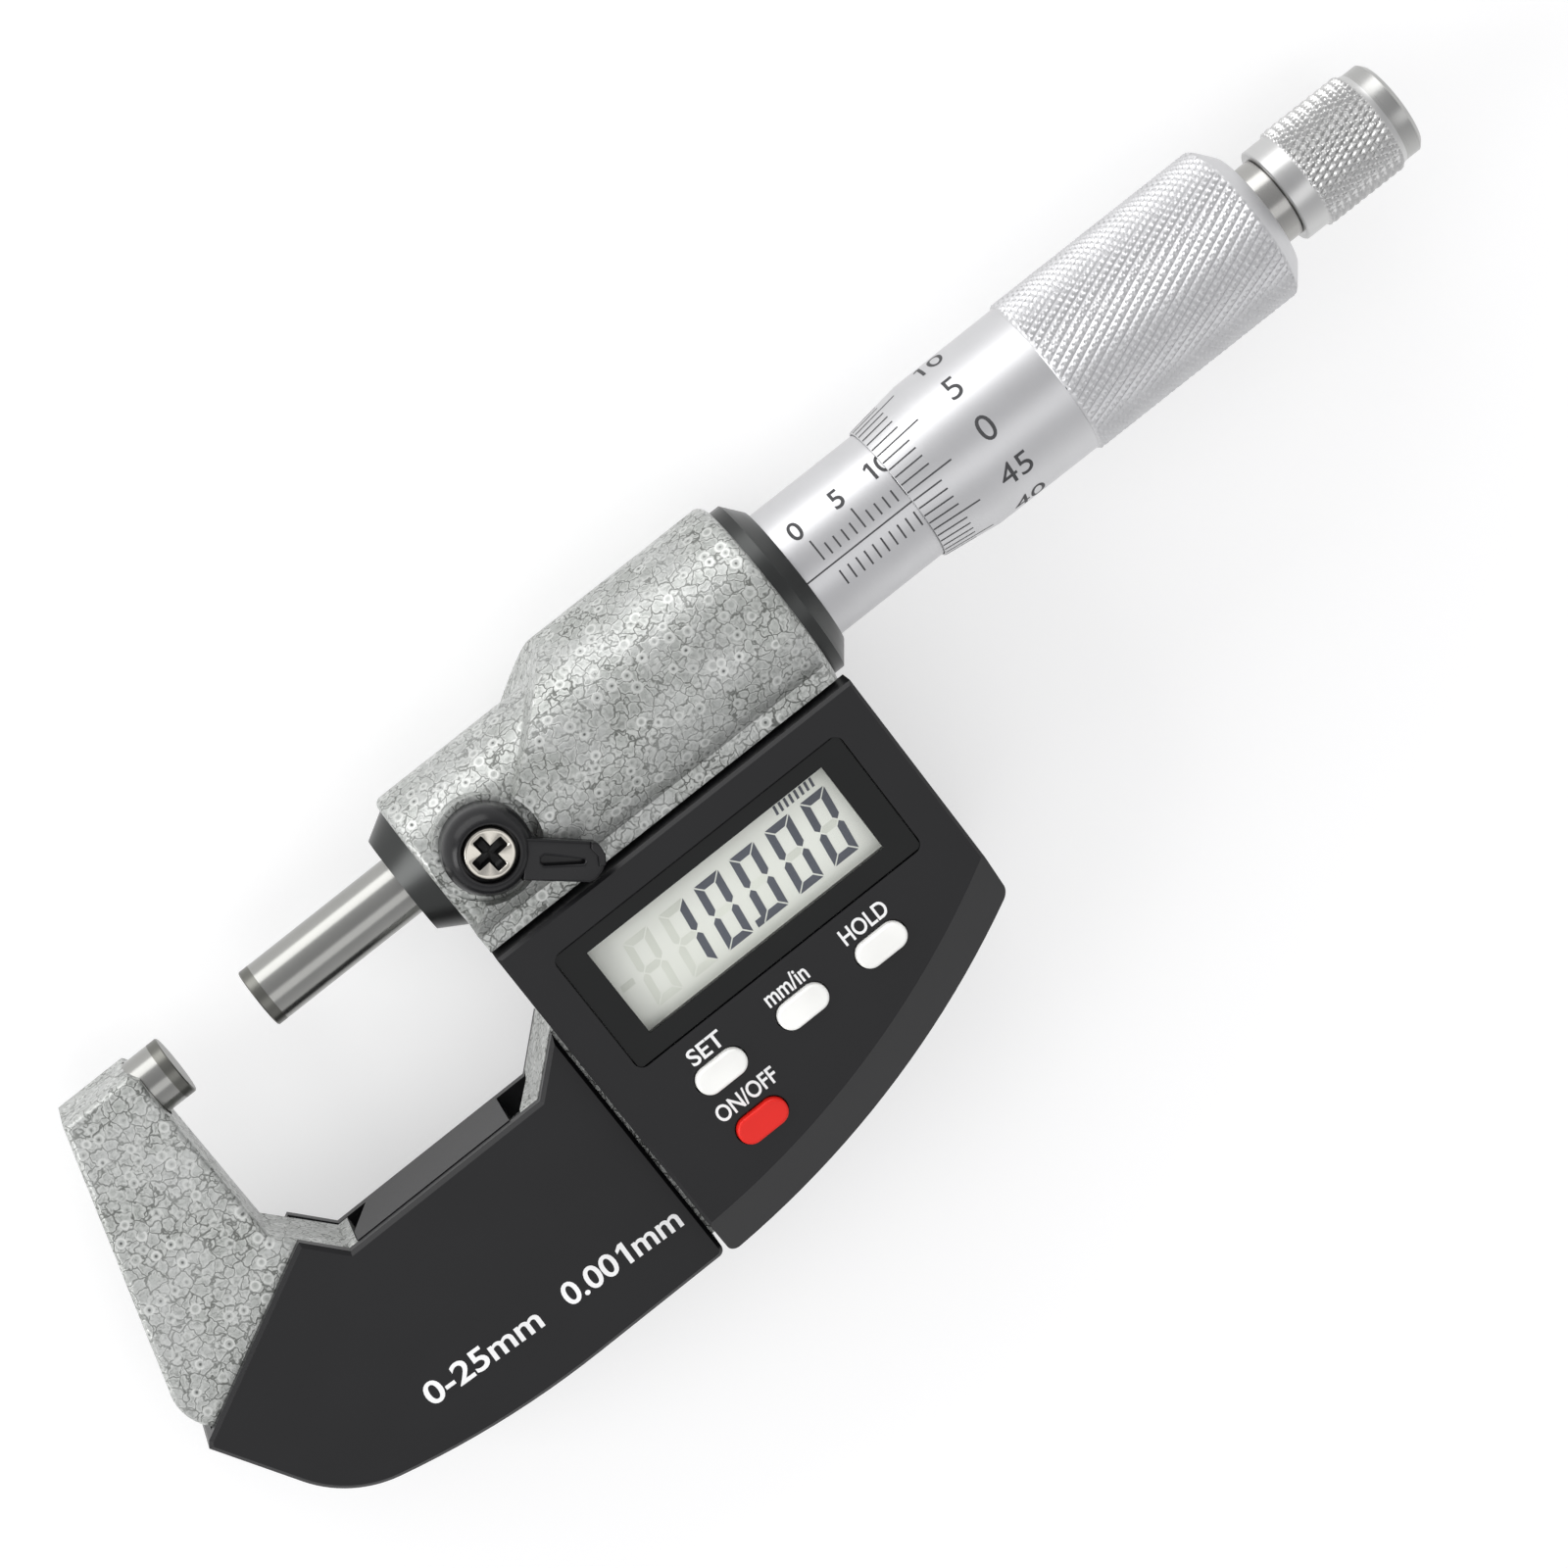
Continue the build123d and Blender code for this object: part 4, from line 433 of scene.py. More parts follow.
# Sleeve: satin-chromed tube with the millimetre scale, engraved and filled with black.
# Whole millimetres stand above the long index line and half millimetres below it.
satin_chrome = turned_metal("satin_chrome", (0.64, 0.64, 0.65), 0.36, 0.46, 7.0, 0.004)
give(satin_chrome, "sleeve")
scale_ink, tree, shader = new_finish("engraved_black")
fill = tree.nodes.new("ShaderNodeTexNoise")
fill.inputs["Scale"].default_value = 3.0
tree.links.new(millimetres(tree), fill.inputs["Vector"])
tree.links.new(
    blend_colours(tree, fill.outputs["Fac"], (0.03, 0.03, 0.032), (0.07, 0.07, 0.075)),
    shader.inputs["Base Color"],
)
shader.inputs["Roughness"].default_value = 0.6
sleeve_radius = 7.2
scale_zero = 78.25
scale_range = 25
index_start = 73.9
index_end = 104.6
index_angle = 2.5
ink_height = 0.012
line_width = 0.18
index_width = 0.16
mark_start = 0.8
long_mark_end = 3.1
short_mark_end = 2.1
half_mark_start = 0.9
half_mark_end = 2.6
sleeve_numeral_height = 2.1
numeral_start = 3.75
numeral_shift = 0.5


def on_turning(x, turn, radius):
    """A point on a turned surface, in metres. Turn is in degrees, from +Z towards +Y."""
    turn = math.radians(turn)
    return (x * mm, radius * math.sin(turn) * mm, radius * math.cos(turn) * mm)


def engraved_line(points, faces, x_start, x_end, turn_start, turn_end, radius_at):
    """Adds one graduation that follows a turned surface, cut across its longer side."""
    steps = 6
    first = len(points)
    for index in range(steps + 1):
        share = index / steps
        for side in (0, 1):
            if abs(x_end - x_start) > abs(turn_end - turn_start) * 0.1:
                x = x_start + (x_end - x_start) * share
                turn = (turn_start, turn_end)[side]
            else:
                x = (x_start, x_end)[side]
                turn = turn_start + (turn_end - turn_start) * share
            points.append(on_turning(x, turn, radius_at(x) + ink_height))
    for index in range(steps):
        corner = first + 2 * index
        faces.append((corner, corner + 1, corner + 3, corner + 2))


def flag_ones(shape, words):
    """Gives each 1 the slanting stroke that the plain font leaves out."""
    waiting = set(shape.verts)
    islands = []
    while waiting:
        island, growing = set(), [waiting.pop()]
        while growing:
            corner = growing.pop()
            island.add(corner)
            for border in corner.link_edges:
                other = border.other_vert(corner)
                if other in waiting:
                    waiting.remove(other)
                    growing.append(other)
        islands.append(island)
    islands.sort(key=lambda island: min(v.co.x for v in island))
    stems = [island for island, sign in zip(islands, words) if sign == "1"]
    for stem in stems:
        left, right = min(v.co.x for v in stem), max(v.co.x for v in stem)
        top = max(v.co.y for v in stem)
        stroke = right - left
        for corner in stem:
            corner.co.x += 0.5 * stroke
        left += 0.5 * stroke
        tip = left - 1.1 * stroke
        corners = (
            (left, top),
            (tip, top - 0.95 * stroke),
            (tip, top - 1.85 * stroke),
            (left, top - 1.15 * stroke),
        )
        shape.faces.new([shape.verts.new((x, y, 0)) for x, y in corners])


def letters(words, height, width=None, weight=0.0, strips=0):
    """Flat letters as (vertices, faces) in millimetres, with the left and the base line at zero.

    Weight fattens the strokes, and strips cuts them across, so that they can follow a turned surface.
    """
    curve = bpy.data.curves.new("letters", "FONT")
    curve.body = words
    curve.resolution_u = 5
    curve.offset = weight
    stand = bpy.data.objects.new("letters", curve)
    bpy.context.scene.collection.objects.link(stand)
    bpy.context.view_layer.update()
    mesh = bpy.data.meshes.new_from_object(stand)
    bpy.data.objects.remove(stand)
    shape = bmesh.new()
    shape.from_mesh(mesh)
    bmesh.ops.remove_doubles(shape, verts=shape.verts, dist=1e-5)
    if "1" in words:
        flag_ones(shape, words)
    low = [min(v.co[i] for v in shape.verts) for i in (0, 1)]
    high = [max(v.co[i] for v in shape.verts) for i in (0, 1)]
    for index in range(1, strips):
        level = low[1] + (high[1] - low[1]) * index / strips
        bmesh.ops.bisect_plane(
            shape,
            geom=shape.verts[:] + shape.edges[:] + shape.faces[:],
            dist=1e-5,
            plane_co=(0, level, 0),
            plane_no=(0, 1, 0),
        )
    shape.verts.index_update()
    tall = height / (high[1] - low[1])
    wide = tall if width is None else width / (high[0] - low[0])
    points = [((v.co.x - low[0]) * wide, (v.co.y - low[1]) * tall) for v in shape.verts]
    faces = [[v.index for v in face.verts] for face in shape.faces]
    shape.free()
    bpy.data.meshes.remove(mesh)
    return points, faces


def add_letters(points, faces, words, height, width, put, weight=0.0, strips=0):
    """Adds letters to a mesh; put turns a flat point into a place."""
    flat, sides = letters(words, height, width, weight, strips)
    middle = max(x for x, y in flat) / 2
    first = len(points)
    points.extend(put(x - middle, y) for x, y in flat)
    faces.extend([first + i for i in side] for side in sides)


def marked_piece(name, points, faces, material, body):
    """A thin printed or engraved piece on a body."""
    mesh = bpy.data.meshes.new(name)
    mesh.from_pydata(points, [], faces)
    mesh.validate()
    mesh.materials.append(material)
    piece = bpy.data.objects.new(name, mesh)
    bpy.context.scene.collection.objects.link(piece)
    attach(piece, body)
    return piece


def sleeve_surface(x):
    """The sleeve's radius, which is the same all along."""
    return sleeve_radius


points, faces = [], []
per_mm = math.degrees(1 / sleeve_radius)
half_line = line_width / 2
half_index = index_width / 2 * per_mm
engraved_line(
    points,
    faces,
    index_start,
    index_end,
    index_angle - half_index,
    index_angle + half_index,
    sleeve_surface,
)
for step in range(scale_range + 1):
    x = scale_zero + step
    mark_end = long_mark_end if step % 5 == 0 else short_mark_end
    engraved_line(
        points,
        faces,
        x - half_line,
        x + half_line,
        index_angle + mark_start * per_mm,
        index_angle + mark_end * per_mm,
        sleeve_surface,
    )
    if step < scale_range:
        engraved_line(
            points,
            faces,
            x + 0.5 - half_line,
            x + 0.5 + half_line,
            index_angle - half_mark_end * per_mm,
            index_angle - half_mark_start * per_mm,
            sleeve_surface,
        )
for step in range(0, scale_range + 1, 5):
    place = scale_zero + step

    def on_sleeve(across, up, place=place):
        """A place on the sleeve for a numeral over its long mark."""
        turn = index_angle + (numeral_start + up) * per_mm
        return on_turning(place - numeral_shift + across, turn, sleeve_radius + ink_height)

    add_letters(
        points, faces, str(step), sleeve_numeral_height, None, on_sleeve, weight=0.012, strips=12
    )
marked_piece("sleeve_scale", points, faces, scale_ink, "frame")

# Thimble: turned tube with a coned edge of fifty divisions, a plain land and a knurled grip.
# It is satin chromed, and the knurl is rolled in as crossed grooves that leave flat-topped diamonds.
thimble_start = 88.25
thimble_edge_radius = 7.5
bevel_end = 94.4
cone_radius = 8.35
plain_radius = 8.4
knurl_start = 106.3
knurl_end = 130.9
knurl_radius = 8.73
thimble_end = 132.5
thimble_end_radius = 6.6
thimble_bore_radius = 7.3
neck_recess_radius = 5.0
neck_recess_depth = 1.5
turn_steps = 176
knurl_depth = 0.24
knurl_starts = 58
knurl_slant = 24
crossing_starts = 92
crossing_depth = 0.2
divisions = 50
division_half_width = 0.6
long_division = 5.3
short_division = 3.4
thimble_numeral_place = 98.0
thimble_numeral_height = 2.65


def join_rings(faces, first, rows, steps):
    """Adds the faces between rings of points that follow each other."""
    for row in range(rows):
        for index in range(steps):
            corner = first + row * steps + index
            beside = first + row * steps + (index + 1) % steps
            faces.append((corner, corner + steps, beside + steps, beside))


def turned_skin(points, faces, profile, steps):
    """Adds a surface of revolution through (x, radius) points."""
    first = len(points)
    for x, radius in profile:
        points.extend(on_turning(x, 360 * index / steps, radius) for index in range(steps))
    join_rings(faces, first, len(profile) - 1, steps)


def knurled_skin(points, faces, x_start, x_end, crest, starts, slant, main, cross, row_length):
    """Adds a rolled knurl between two rings, as a grid whose columns run along the main grooves.

    The main grooves lean by slant degrees. Main is (points per groove, depth), and cross is
    (starts of the crossing grooves, depth).
    """
    per_groove, main_depth = main
    cross_starts, cross_depth = cross
    deepest = max(main_depth, cross_depth)
    columns = starts * per_groove
    lean_per_mm = math.degrees(math.tan(math.radians(slant)) / crest)
    rows = round((x_end - x_start) / row_length)
    first = len(points)
    for row in range(rows + 1):
        x = x_start + (x_end - x_start) * row / rows
        lean_here = lean_per_mm * (x - x_start)
        fade = min(1.0, min(row, rows - row) / 2)
        for column in range(columns):
            turn = 360 * column / columns + lean_here
            from_main = abs((column / per_groove + 0.5) % 1 - 0.5)
            crossing = (turn + lean_here) * cross_starts / 360
            from_cross = abs((crossing + 0.5) % 1 - 0.5)
            main_groove = main_depth * max(0.0, 1 - from_main / 0.38)
            cross_groove = cross_depth * max(0.0, 1 - from_cross / 0.42)
            groove = max(main_groove, cross_groove)
            points.append(on_turning(x, turn, crest - deepest * (1 - fade) - groove * fade))
    join_rings(faces, first, rows, columns)


def turned_piece(name, points, faces, material, body, slot, sharp=32):
    """A piece with smooth faces, and crisp edges where they meet at more than sharp degrees."""
    mesh = bpy.data.meshes.new(name)
    mesh.from_pydata(points, [], faces)
    shape = bmesh.new()
    shape.from_mesh(mesh)
    bmesh.ops.remove_doubles(shape, verts=shape.verts, dist=0.002 * mm)
    bmesh.ops.recalc_face_normals(shape, faces=shape.faces)
    shape.to_mesh(mesh)
    shape.free()
    mesh.materials.append(material)
    mesh.shade_smooth()
    mesh.set_sharp_from_angle(angle=math.radians(sharp))
    piece = bpy.data.objects.new(name, mesh)
    bpy.context.scene.collection.objects.link(piece)
    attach(piece, body)
    return piece


thimble_chrome = turned_metal("thimble_chrome", (0.65, 0.65, 0.66), 0.36, 0.46, 6.0, 0.004)
points, faces = [], []
groove_radius = knurl_radius - knurl_depth
turned_skin(
    points,
    faces,
    [
        (121.0, thimble_bore_radius),
        (thimble_start, thimble_bore_radius),
        (thimble_start, thimble_edge_radius - 0.05),
        (thimble_start + 0.05, thimble_edge_radius),
        (bevel_end, cone_radius),
        (knurl_start, plain_radius),
        (knurl_start + 0.1, groove_radius),
    ],
    turn_steps,
)
knurled_skin(
    points,
    faces,
    knurl_start + 0.1,
    knurl_end,
    knurl_radius,
    knurl_starts,
    knurl_slant,
    (5, knurl_depth),
    (crossing_starts, crossing_depth),
    0.13,
)
turned_skin(
    points,
    faces,
    [
        (knurl_end, groove_radius),
        (knurl_end + 0.15, groove_radius - 0.12),
        (thimble_end - 0.15, thimble_end_radius + 0.2),
        (thimble_end, thimble_end_radius),
        (thimble_end, neck_recess_radius),
        (thimble_end - neck_recess_depth, neck_recess_radius),
        (thimble_end - neck_recess_depth, 2.1),
    ],
    turn_steps,
)
thimble_piece = turned_piece(
    "thimble_knurled", points, faces, thimble_chrome, "spindle", "satin_chrome"
)
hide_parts("thimble")


def thimble_surface(x):
    """The thimble's outer radius along its coned edge and plain land."""
    if x < bevel_end:
        share = (x - thimble_start) / (bevel_end - thimble_start)
        return thimble_edge_radius + (cone_radius - thimble_edge_radius) * share
    return cone_radius + (plain_radius - cone_radius) * (x - bevel_end) / (knurl_start - bevel_end)


points, faces = [], []
division = 360 / divisions
for step in range(divisions):
    turn = index_angle + division * (step + 1)
    length = long_division if step % 5 == 0 else short_division
    engraved_line(
        points,
        faces,
        thimble_start + 0.08,
        thimble_start + length,
        turn - division_half_width,
        turn + division_half_width,
        thimble_surface,
    )
thimble_per_mm = math.degrees(1 / cone_radius)
for step in range(0, divisions, 5):
    turn = index_angle + division * (step + 1)

    def on_thimble(across, up, turn=turn):
        """A place on the plain land for a numeral beyond its long mark."""
        x = thimble_numeral_place + across
        return on_turning(x, turn + (up - 1.0) * thimble_per_mm, thimble_surface(x) + ink_height)

    add_letters(points, faces, str(step), thimble_numeral_height, None, on_thimble, strips=14)
marked_piece("thimble_scale", points, faces, scale_ink, "spindle")

# Ratchet: a bright turned neck and a small knurled cap that slips when the faces close.
# The cap is rolled and chromed, and the plain land at its outer end gets a darker copy of the chrome.
bright_steel = turned_metal("bright_steel", (0.42, 0.415, 0.40), 0.16, 0.28, 8.0, 0.003)
knob_chrome = turned_metal("knob_chrome", (0.60, 0.60, 0.595), 0.26, 0.36, 6.0, 0.004)
dark_steel = turned_metal("plain_steel", (0.42, 0.42, 0.43), 0.3, 0.45, 6.0, 0.004)
give(bright_steel, "ratchet_base")
give(dark_steel, "ratchet_washer", "ratchet_spring", "ratchet_screw")
knob_start = 134.9
knob_ring_radius = 5.25
knob_ring_end = 137.4
knob_radius = 5.6
knob_knurl_end = 146.8
knob_land_radius = 5.15
knob_end = 149.4
knob_end_radius = 4.67
knob_knurl_depth = 0.3
knob_knurl_starts = 45
knob_bore_radius = 3.9
knob_recess_radius = 2.7
knob_turn_steps = 116
knob_groove_radius = knob_radius - knob_knurl_depth
points, faces = [], []
turned_skin(
    points,
    faces,
    [
        (knob_start + 3.0, knob_bore_radius),
        (knob_start + 0.1, knob_bore_radius),
        (knob_start + 0.1, knob_ring_radius - 0.12),
        (knob_start + 0.22, knob_ring_radius),
        (knob_ring_end, knob_ring_radius),
        (knob_ring_end + 0.12, knob_groove_radius),
    ],
    knob_turn_steps,
)
knurled_skin(
    points,
    faces,
    knob_ring_end + 0.12,
    knob_knurl_end,
    knob_radius,
    knob_knurl_starts,
    knurl_slant,
    (6, knob_knurl_depth),
    (knob_knurl_starts, knob_knurl_depth),
    0.1,
)
turned_skin(
    points,
    faces,
    [
        (knob_knurl_end, knob_groove_radius),
        (knob_knurl_end + 0.5, knob_land_radius),
        (knob_end - 0.45, knob_land_radius),
        (knob_end - 0.1, knob_end_radius + 0.12),
        (knob_end, knob_end_radius),
        (knob_end, knob_recess_radius),
        (knob_end - 2.0, knob_recess_radius),
    ],
    knob_turn_steps,
)
# The outer land is given a darker copy of the knob's chrome.
darker_end_finish = turned_metal("knob_end_darker", (0.44, 0.44, 0.43), 0.24, 0.34, 6.0, 0.004)
knob_piece = turned_piece("ratchet_knob_knurled", points, faces, knob_chrome, "ratchet", "satin_chrome")
knob_piece.data.materials.append(darker_end_finish)
for face in knob_piece.data.polygons:
    if face.center.x > (knob_knurl_end + 0.4) * mm:
        face.material_index = 1
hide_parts("ratchet_knob")

# Spindle lock: a black moulded lever on a threaded stud, held by a nickel-plated screw.
# Moulded pieces share a fine spark-eroded grain.
moulded_grain, inputs, outputs = new_effect(
    "moulded_grain",
    [
        ("Grain", "NodeSocketFloat", 9.0),
        ("Low", "NodeSocketFloat", 0.4),
        ("High", "NodeSocketFloat", 0.55),
        ("Colour", "NodeSocketColor", (0.05, 0.05, 0.05, 1)),
    ],
    [("Colour", "NodeSocketColor"), ("Roughness", "NodeSocketFloat"), ("Height", "NodeSocketFloat")],
)
spot = millimetres(moulded_grain)
grains = moulded_grain.nodes.new("ShaderNodeTexNoise")
grains.inputs["Detail"].default_value = 4.0
moulded_grain.links.new(spot, grains.inputs["Vector"])
moulded_grain.links.new(inputs.outputs["Grain"], grains.inputs["Scale"])
flow = moulded_grain.nodes.new("ShaderNodeTexNoise")
flow.inputs["Scale"].default_value = 0.12
moulded_grain.links.new(spot, flow.inputs["Vector"])
spread = calculate(moulded_grain, "SUBTRACT", inputs.outputs["High"], inputs.outputs["Low"])
spread = calculate(moulded_grain, "MULTIPLY", spread, grains.outputs["Fac"])
spread = calculate(moulded_grain, "ADD", spread, inputs.outputs["Low"])
tone = moulded_grain.nodes.new("ShaderNodeVectorMath")
tone.operation = "SCALE"
moulded_grain.links.new(inputs.outputs["Colour"], tone.inputs[0])
unevenness = remap(moulded_grain, flow.outputs["Fac"], 0.3, 0.7, 0.92, 1.08)
moulded_grain.links.new(unevenness, tone.inputs["Scale"])
moulded_grain.links.new(tone.outputs[0], outputs.inputs["Colour"])
moulded_grain.links.new(spread, outputs.inputs["Roughness"])
moulded_grain.links.new(grains.outputs["Fac"], outputs.inputs["Height"])


def moulded(name, colour, low, high, grain, depth, gloss=0.5):
    """A moulded plastic or rubber finish: roughness from low to high, with its grain."""
    material, tree, shader = new_finish(name)
    surface = place_effect(tree, moulded_grain, Grain=grain, Low=low, High=high, Colour=(*colour, 1))
    tree.links.new(surface.outputs["Colour"], shader.inputs["Base Color"])
    tree.links.new(surface.outputs["Roughness"], shader.inputs["Roughness"])
    shader.inputs["Specular IOR Level"].default_value = gloss
    raise_surface(tree, shader, surface.outputs["Height"], depth, 0.4)
    return material


lever_plastic = moulded("lever_plastic", (0.009, 0.009, 0.010), 0.2, 0.3, 4.0, 0.006, 0.3)
nickel = turned_metal("nickel_screw", (0.62, 0.59, 0.53), 0.14, 0.24, 5.0, 0.003)
brass = turned_metal("machined_brass", (0.75, 0.55, 0.25), 0.25, 0.38, 6.0, 0.004)
give(lever_plastic, "lock_lever")
give(nickel, "lock_screw")
lock_centre = (36.1, 0.15)
lever_turn = math.radians(-41.0)


def on_lock(x, y, z):
    """A place by the lock's own axes: x along the lever, z up, in metres."""
    across = x * math.cos(lever_turn) - y * math.sin(lever_turn)
    up = x * math.sin(lever_turn) + y * math.cos(lever_turn)
    return ((lock_centre[0] + across) * mm, (lock_centre[1] + up) * mm, z * mm)


def rounded_plate(outlines, low, high, edge):
    """A plate with rounded edges as (vertices, faces). The first outline is its rim, in millimetres."""
    curve = bpy.data.curves.new("plate", "CURVE")
    curve.dimensions = "2D"
    curve.fill_mode = "BOTH"
    curve.extrude = (high - low) / 2 - edge
    curve.bevel_depth = edge
    curve.bevel_resolution = 3
    curve.offset = -edge
    for outline in outlines:
        spline = curve.splines.new("POLY")
        spline.points.add(len(outline) - 1)
        for corner, (x, y) in zip(spline.points, outline):
            corner.co = (x, y, 0, 1)
        spline.use_cyclic_u = True
    stand = bpy.data.objects.new("plate", curve)
    bpy.context.scene.collection.objects.link(stand)
    bpy.context.view_layer.update()
    mesh = bpy.data.meshes.new_from_object(stand)
    bpy.data.objects.remove(stand)
    corners = [(v.co.x, v.co.y, v.co.z + (low + high) / 2) for v in mesh.vertices]
    sides = [tuple(face.vertices) for face in mesh.polygons]
    bpy.data.meshes.remove(mesh)
    return corners, sides


hub_profile = [
    (2.5, 10.6), (2.5, 8.45), (4.25, 8.45), (4.4, 8.6), (4.4, 10.7), (4.33, 11.2), (4.15, 11.7),
    (3.85, 12.2), (3.5, 12.6), (3.2, 12.82), (3.0, 12.9), (2.9, 12.88), (2.85, 12.8), (2.85, 11.4),
    (1.1, 11.4),
]
hub_steps = 96
points, faces = [], []
for radius, level in hub_profile:
    for index in range(hub_steps):
        turn = 2 * math.pi * index / hub_steps
        points.append(on_lock(radius * math.cos(turn), radius * math.sin(turn), level))
join_rings(faces, 0, len(hub_profile) - 1, hub_steps)
arm_rim = [
    (3.3, -2.5), (9.7, -2.5), (10.3, -2.2), (10.9, -1.3), (11.1, -0.5), (10.95, 0.3), (10.4, 1.1),
    (9.9, 1.4), (3.3, 1.55),
]
arm_slot = [
    (4.9, -0.25), (5.2, 0.0), (9.0, -0.3), (9.1, -0.5), (9.0, -0.7), (5.2, -1.0), (4.9, -0.75),
]
lip_rim = [
    (9.5, 1.45), (9.5, 0.85), (10.25, 0.1), (10.45, -0.9), (11.05, -0.7), (10.95, 0.3), (10.4, 1.1),
    (10.0, 1.45),
]
for outlines, low, high, edge in (
    ([arm_rim, arm_slot[::-1]], 11.0, 12.4, 0.28),
    ([lip_rim], 12.0, 12.85, 0.16),
    ([arm_rim], 11.0, 11.5, 0.1),
):
    corners, sides = rounded_plate(outlines, low, high, edge)
    first = len(points)
    points.extend(on_lock(*corner) for corner in corners)
    faces.extend(tuple(first + corner for corner in side) for side in sides)
lever_piece = turned_piece(
    "lock_lever_moulded", points, faces, lever_plastic, "lock", "black_plastic", 40
)
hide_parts("lock_lever")

# Lock screw: nickel-plated pan head with a deep cross recess, lined near-black inside as painted shade.
# It holds the lever on its stud.
recess_shade_black = moulded("recess_painted_shade", (0.006, 0.006, 0.006), 0.3, 0.4, 5.0, 0.002, 0.3)
screw_turn = math.radians(41.0 + 5.0)
leg_half = 0.62
leg_reach = 1.85
star_steps = 96


def star_radius(turn, shrink):
    """How far the cross recess reaches at an angle. Its legs are drawn in a little at the sides."""
    from_leg = (turn + math.pi / 4) % (math.pi / 2) - math.pi / 4
    to_end = leg_reach / math.cos(from_leg)
    to_side = leg_half / max(abs(math.sin(from_leg)), 0.001)
    if to_end > to_side:
        to_side *= 0.92
    return shrink * min(to_end, to_side)


head_rings = [
    ("round", 1.0, 6.5), ("round", 1.0, 11.4), ("round", 2.5, 11.4), ("round", 2.6, 11.5),
    ("round", 2.6, 12.25), ("round", 2.52, 12.48), ("round", 2.3, 12.62), ("round", 2.1, 12.6),
    ("star", 1.0, 12.42),
]
recess_rings = [("star", 1.0, 12.42), ("star", 0.86, 11.9), ("star", 0.62, 11.45), ("star", 0.05, 11.3)]


def ringed_mesh(levels):
    """Surface through rings of points round the lock screw's axis."""
    points, faces = [], []
    for kind, size, level in levels:
        for index in range(star_steps):
            turn = 2 * math.pi * index / star_steps
            radius = size if kind == "round" else star_radius(turn, size)
            turned = turn + screw_turn
            points.append(on_lock(radius * math.cos(turned), radius * math.sin(turned), level))
    join_rings(faces, 0, len(levels) - 1, star_steps)
    return points, faces


head_piece = turned_piece(
    "lock_screw_head", *ringed_mesh(head_rings), nickel, "lock", "bright_steel", 40
)
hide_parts("lock_screw")
# Painted shade: the cross recess is lined near-black.
turned_piece(
    "lock_screw_recess", *ringed_mesh(recess_rings), recess_shade_black, "lock", "bright_steel", 40
)
give(brass, "lock_pad", "battery_leads")
give(dark_steel, "lock_stud")

# Insulating covers: two matte black half shells over the bow, printed in white on the front.
# They keep the warmth of the hand from the casting.
cover_plastic = moulded("cover_plastic", (0.006, 0.006, 0.007), 0.3, 0.4, 11.0, 0.004, 0.32)
give(cover_plastic, "front_insulating_cover", "back_insulating_cover")
print_white = moulded("printed_white", (0.90, 0.90, 0.90), 0.5, 0.6, 6.0, 0.004)
cover_face = 6.0
print_height = 0.012
print_slope = math.radians(-2.6)


def printed(name, words, height, width, centre, level, slope=0.0):
    """White print on a flat face: centre of the base line, level of the face."""
    points, faces = [], []

    def on_face(across, up):
        """A place on the printed face."""
        x = across * math.cos(slope) - up * math.sin(slope)
        y = across * math.sin(slope) + up * math.cos(slope)
        return ((centre[0] + x) * mm, (centre[1] + y) * mm, (level + print_height) * mm)

    add_letters(points, faces, words, height, width, on_face, weight=0.016)
    return marked_piece(name, points, faces, print_white, "frame")


printed("range_print", "0-25mm", 2.45, 13.4, (5.15, -41.5), cover_face, print_slope)
printed("resolution_print", "0.001mm", 2.45, 13.6, (21.6, -42.3), cover_face, print_slope)

# Display case: two black satin shells, clamped on the leg by four screws from the back.
# The labels are printed in white over the buttons.
case_plastic = moulded("case_plastic", (0.005, 0.005, 0.006), 0.28, 0.38, 12.0, 0.004, 0.32)
give(case_plastic, "display_housing", "back_cover", "battery_cover")
case_front = 10.8
for name, words, height, width, centre in (
    ("set_print", "SET", 1.75, 3.9, (40.6, -29.25)),
    ("unit_print", "mm/in", 1.8, 4.9, (50.3, -29.35)),
    ("hold_print", "HOLD", 1.75, 5.3, (59.9, -29.25)),
    ("power_print", "ON/OFF", 1.75, 7.0, (40.9, -35.45)),
):
    printed(name, words, height, width, centre, case_front)

# Display: a clear moulded lens over a grey-green liquid crystal panel with seven-bar numerals.
# Unlit bars show faintly at the left.
lens_clear, tree, shader = new_finish("clear_lens")
haze = tree.nodes.new("ShaderNodeTexNoise")
haze.inputs["Scale"].default_value = 0.2
tree.links.new(millimetres(tree), haze.inputs["Vector"])
tree.links.new(
    blend_colours(tree, haze.outputs["Fac"], (0.02, 0.022, 0.022), (0.03, 0.032, 0.031)),
    shader.inputs["Base Color"],
)
shader.inputs["Roughness"].default_value = 0.12
shader.inputs["Alpha"].default_value = 0.04
give(lens_clear, "display_window")
border_black = moulded("lens_border_black", (0.006, 0.0065, 0.0065), 0.2, 0.26, 6.0, 0.001, 0.2)
lens_low = (34.5, -26.05)
lens_high = (68.8, -12.15)
shown_low = (37.38, -23.82)
shown_high = (65.83, -13.77)
border_level = 10.612
points = []
for low, high in ((lens_low, lens_high), (shown_low, shown_high)):
    for x, y in (low, (high[0], low[1]), high, (low[0], high[1])):
        points.append((x * mm, y * mm, border_level * mm))
faces = [(side, (side + 1) % 4, 4 + (side + 1) % 4, 4 + side) for side in range(4)]
marked_piece("lens_border", points, faces, border_black, "frame")
panel_glass, tree, shader = new_finish("display_panel")
cloud = tree.nodes.new("ShaderNodeTexNoise")
cloud.inputs["Scale"].default_value = 0.08
tree.links.new(millimetres(tree), cloud.inputs["Vector"])
